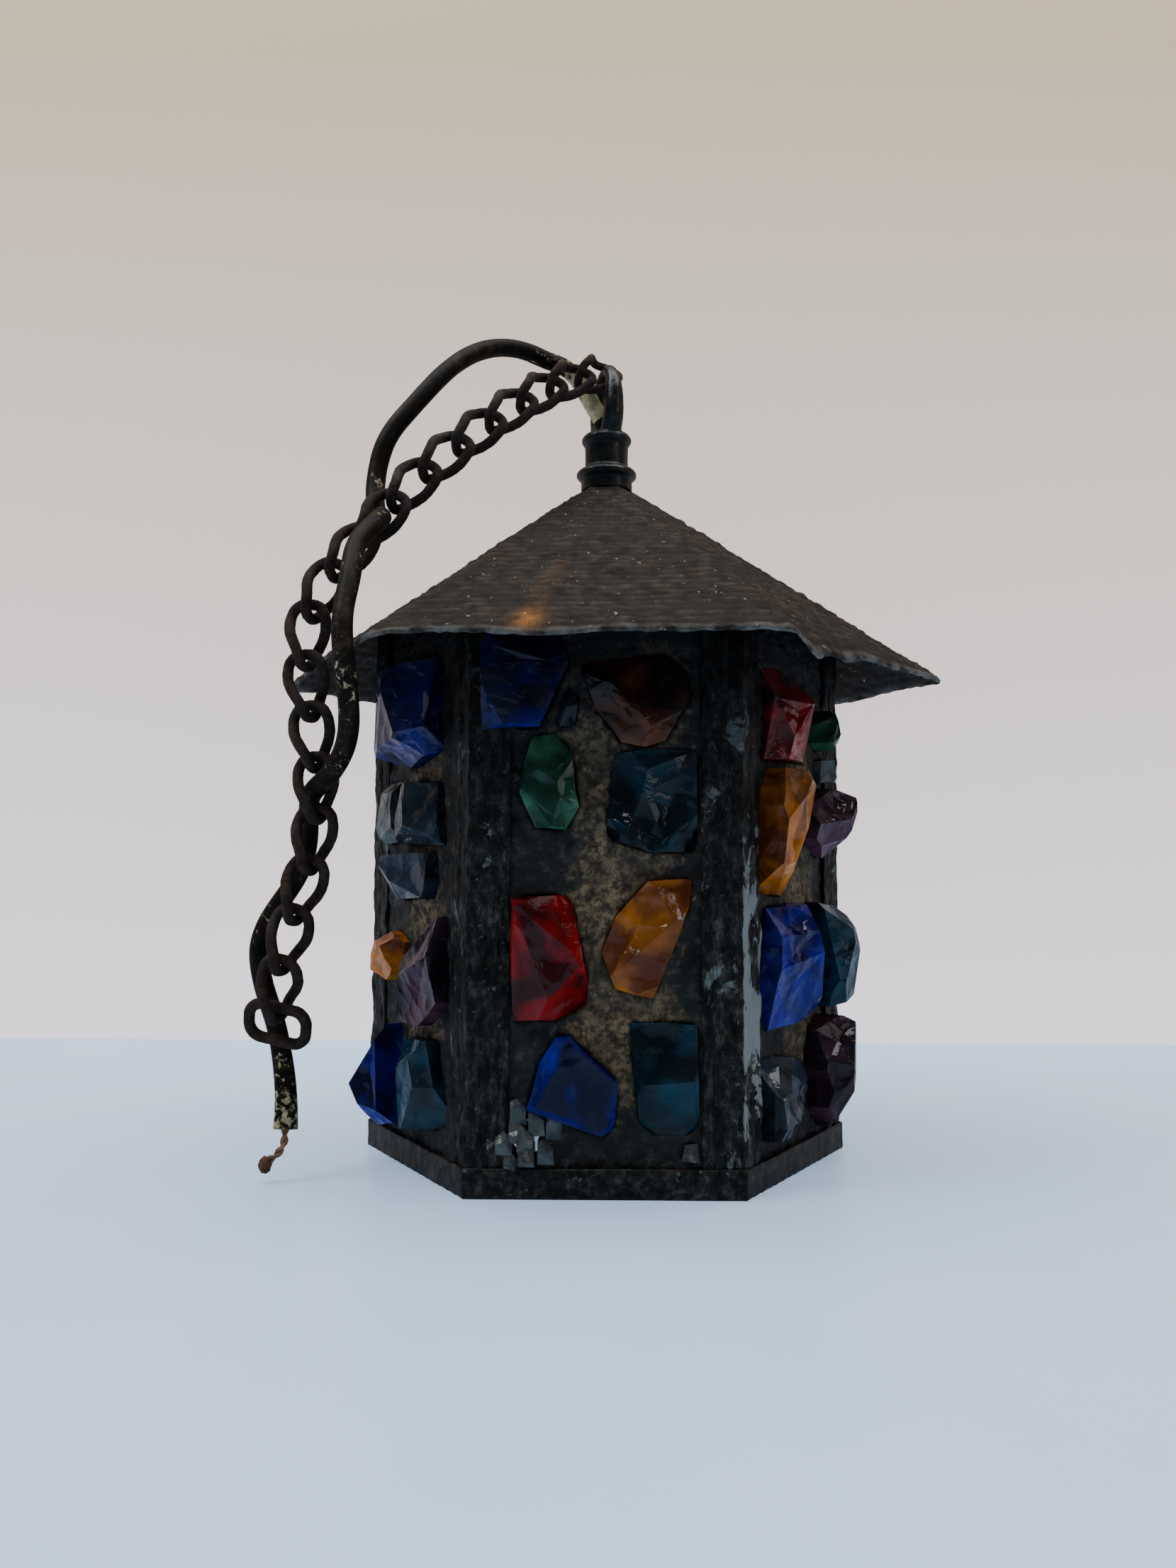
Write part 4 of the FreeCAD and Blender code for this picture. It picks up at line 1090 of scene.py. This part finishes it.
def hidden_hardware():
    """The pieces inside keep their CAD shapes, and get their materials."""
    zinc = plain_material("zinc_plate", (0.2, 0.2, 0.19), (0.45, 0.44, 0.4), 5, 0.42, 0.9)
    brass = plain_material("dull_brass", (0.28, 0.17, 0.05), (0.6, 0.42, 0.16), 4, 0.35, 1.0)
    bakelite = plain_material("bakelite", (0.012, 0.008, 0.006), (0.03, 0.02, 0.015), 6, 0.25)
    ceramic = plain_material("ceramic", (0.55, 0.53, 0.48), (0.75, 0.73, 0.69), 5, 0.2)
    rim = painted_material("rim_paint", 0.0, 0.6)
    wires = plain_material("wire_skin", *CORE_COLOURS, 3, 0.5)
    bulb = plain_material(
        "bulb_glass", (0.9, 0.92, 0.92), (0.97, 0.98, 0.98), 8, 0.03, 0.0, 0.01,
        transmission_weight=0.95, ior=1.5,
    )
    looks = {
        "top_rim": rim, "threaded_tube": zinc, "bridge_bar": zinc, "bar_washer": zinc,
        "tube_nuts": zinc, "bridge_screws": zinc, "bridge_nuts": zinc,
        "holder_cap": bakelite, "holder_shell": bakelite, "holder_insert": ceramic,
        "contact_springs": brass, "lamp_wires": wires, "bulb_cap": brass, "bulb_glass": bulb,
    }
    for node, material in looks.items():
        obj = nodes[node]
        if not obj.material_slots:
            obj.data.materials.append(material)
        for slot in obj.material_slots:
            slot.material = material


# ------------------------ floor, light, camera


def clear_from_behind(look):
    """Lets the back of the surface be looked through."""
    mix = look.add("ShaderNodeMixShader")
    look.link(look.add("ShaderNodeNewGeometry").outputs["Backfacing"], mix.inputs[0])
    look.link(look.surface.outputs["BSDF"], mix.inputs[1])
    look.link(look.add("ShaderNodeBsdfTransparent").outputs["BSDF"], mix.inputs[2])
    look.link(mix.outputs[0], look.tree.nodes["Material Output"].inputs["Surface"])


def stage():
    """A pale table and a pale wall well behind it. Both are clear from their backs."""
    table = Nodes("table", roughness=0.3)
    mottle = table.noise(60, 4, 0.5)
    tone = table.ramp(mottle, (0.3, (0.5, 0.71, 0.97)), (0.7, (0.53, 0.74, 0.99)))
    tone = table.mix(table.dimmed_in_gloss(), tone, (0, 0, 0))
    table.set(base_color=tone, emission_color=tone, emission_strength=0.42)
    wall = Nodes("wall", roughness=0.95)
    rise = wall.between(wall.height(), 0.03, 0.55)
    tone = wall.mix(rise, (0.98, 0.82, 0.79), (0.54, 0.41, 0.26))
    tone = wall.mix(wall.dimmed_in_gloss(), tone, (0, 0, 0))
    wall.set(base_color=tone, emission_color=tone, emission_strength=0.72)
    back, wide, high, deep = 0.25, 4, 3, -1
    flat = [(-wide, -wide, 0), (wide, -wide, 0), (wide, wide, 0), (-wide, wide, 0)]
    upright = [(-wide, back, deep), (wide, back, deep), (wide, back, high), (-wide, back, high)]
    for name, corners, look in (("floor", flat, table), ("backdrop", upright, wall)):
        clear_from_behind(look)
        mesh = bpy.data.meshes.new(name)
        mesh.from_pydata(corners, [], [(0, 1, 2, 3)])
        new_object(name, mesh, look.material)


def soft_light(name, at, towards, size, watts, colour):
    """A rectangle of light, turned towards a place."""
    light = bpy.data.lights.new(name, "AREA")
    light.shape = "RECTANGLE"
    light.size, light.size_y = size
    light.energy = watts
    light.color = colour
    obj = bpy.data.objects.new(name, light)
    collection.objects.link(obj)
    obj.location = at
    obj.rotation_euler = (Vector(towards) - Vector(at)).to_track_quat("-Z", "Y").to_euler()


def lights():
    """A window to the left, the room to the right and a broad, soft ceiling."""
    soft_light("window", (-1.2, -0.6, 1.6), (0, 0, 0.12), (0.8, 0.8), 12, (0.93, 0.97, 1.0))
    soft_light("room", (1.5, -1.0, 0.7), (0, 0, 0.1), (0.7, 0.8), 2, (1.0, 0.95, 0.88))
    soft_light("ceiling", (0, -0.1, 1.5), (0, 0, 0), (2.2, 1.0), 30, (0.97, 0.98, 1.0))
    world = bpy.data.worlds.new("room_light")
    world.use_nodes = True
    sky = world.node_tree.nodes["Background"]
    sky.inputs["Color"].default_value = (0.85, 0.87, 0.9, 1)
    # dim as a light, bright where the camera sees it past the table and the wall
    strength = world.node_tree.nodes.new("ShaderNodeMapRange")
    strength.inputs["To Min"].default_value = 0.07
    strength.inputs["To Max"].default_value = 0.7
    seen = world.node_tree.nodes.new("ShaderNodeLightPath").outputs["Is Camera Ray"]
    world.node_tree.links.new(seen, strength.inputs["Value"])
    world.node_tree.links.new(strength.outputs["Result"], sky.inputs["Strength"])
    bpy.context.scene.world = world


def camera():
    """A close viewpoint in front of the lantern, at the height of its middle."""
    lens = bpy.data.cameras.new("view")
    lens.sensor_fit = "VERTICAL"
    lens.sensor_height = 36
    lens.angle_y = math.radians(64.14)
    lens.clip_start = 0.01
    obj = bpy.data.objects.new("view", lens)
    collection.objects.link(obj)
    obj.location = Vector((-0.436, -425.04, 92.8)) * MM
    way = Vector((-0.01306, 0.99770, 0.06645))
    obj.rotation_mode = "QUATERNION"
    roll = Matrix.Rotation(math.radians(0.22), 4, "Z")
    aim = way.to_track_quat("-Z", "Y").to_matrix().to_4x4()
    obj.rotation_quaternion = (aim @ roll).to_quaternion()
    bpy.context.scene.camera = obj


outlines = glass_chunks()
mortar_panels(outlines)
posts()
band()
roof()
finial()
chain()
flex()
hidden_hardware()
stage()
lights()
camera()
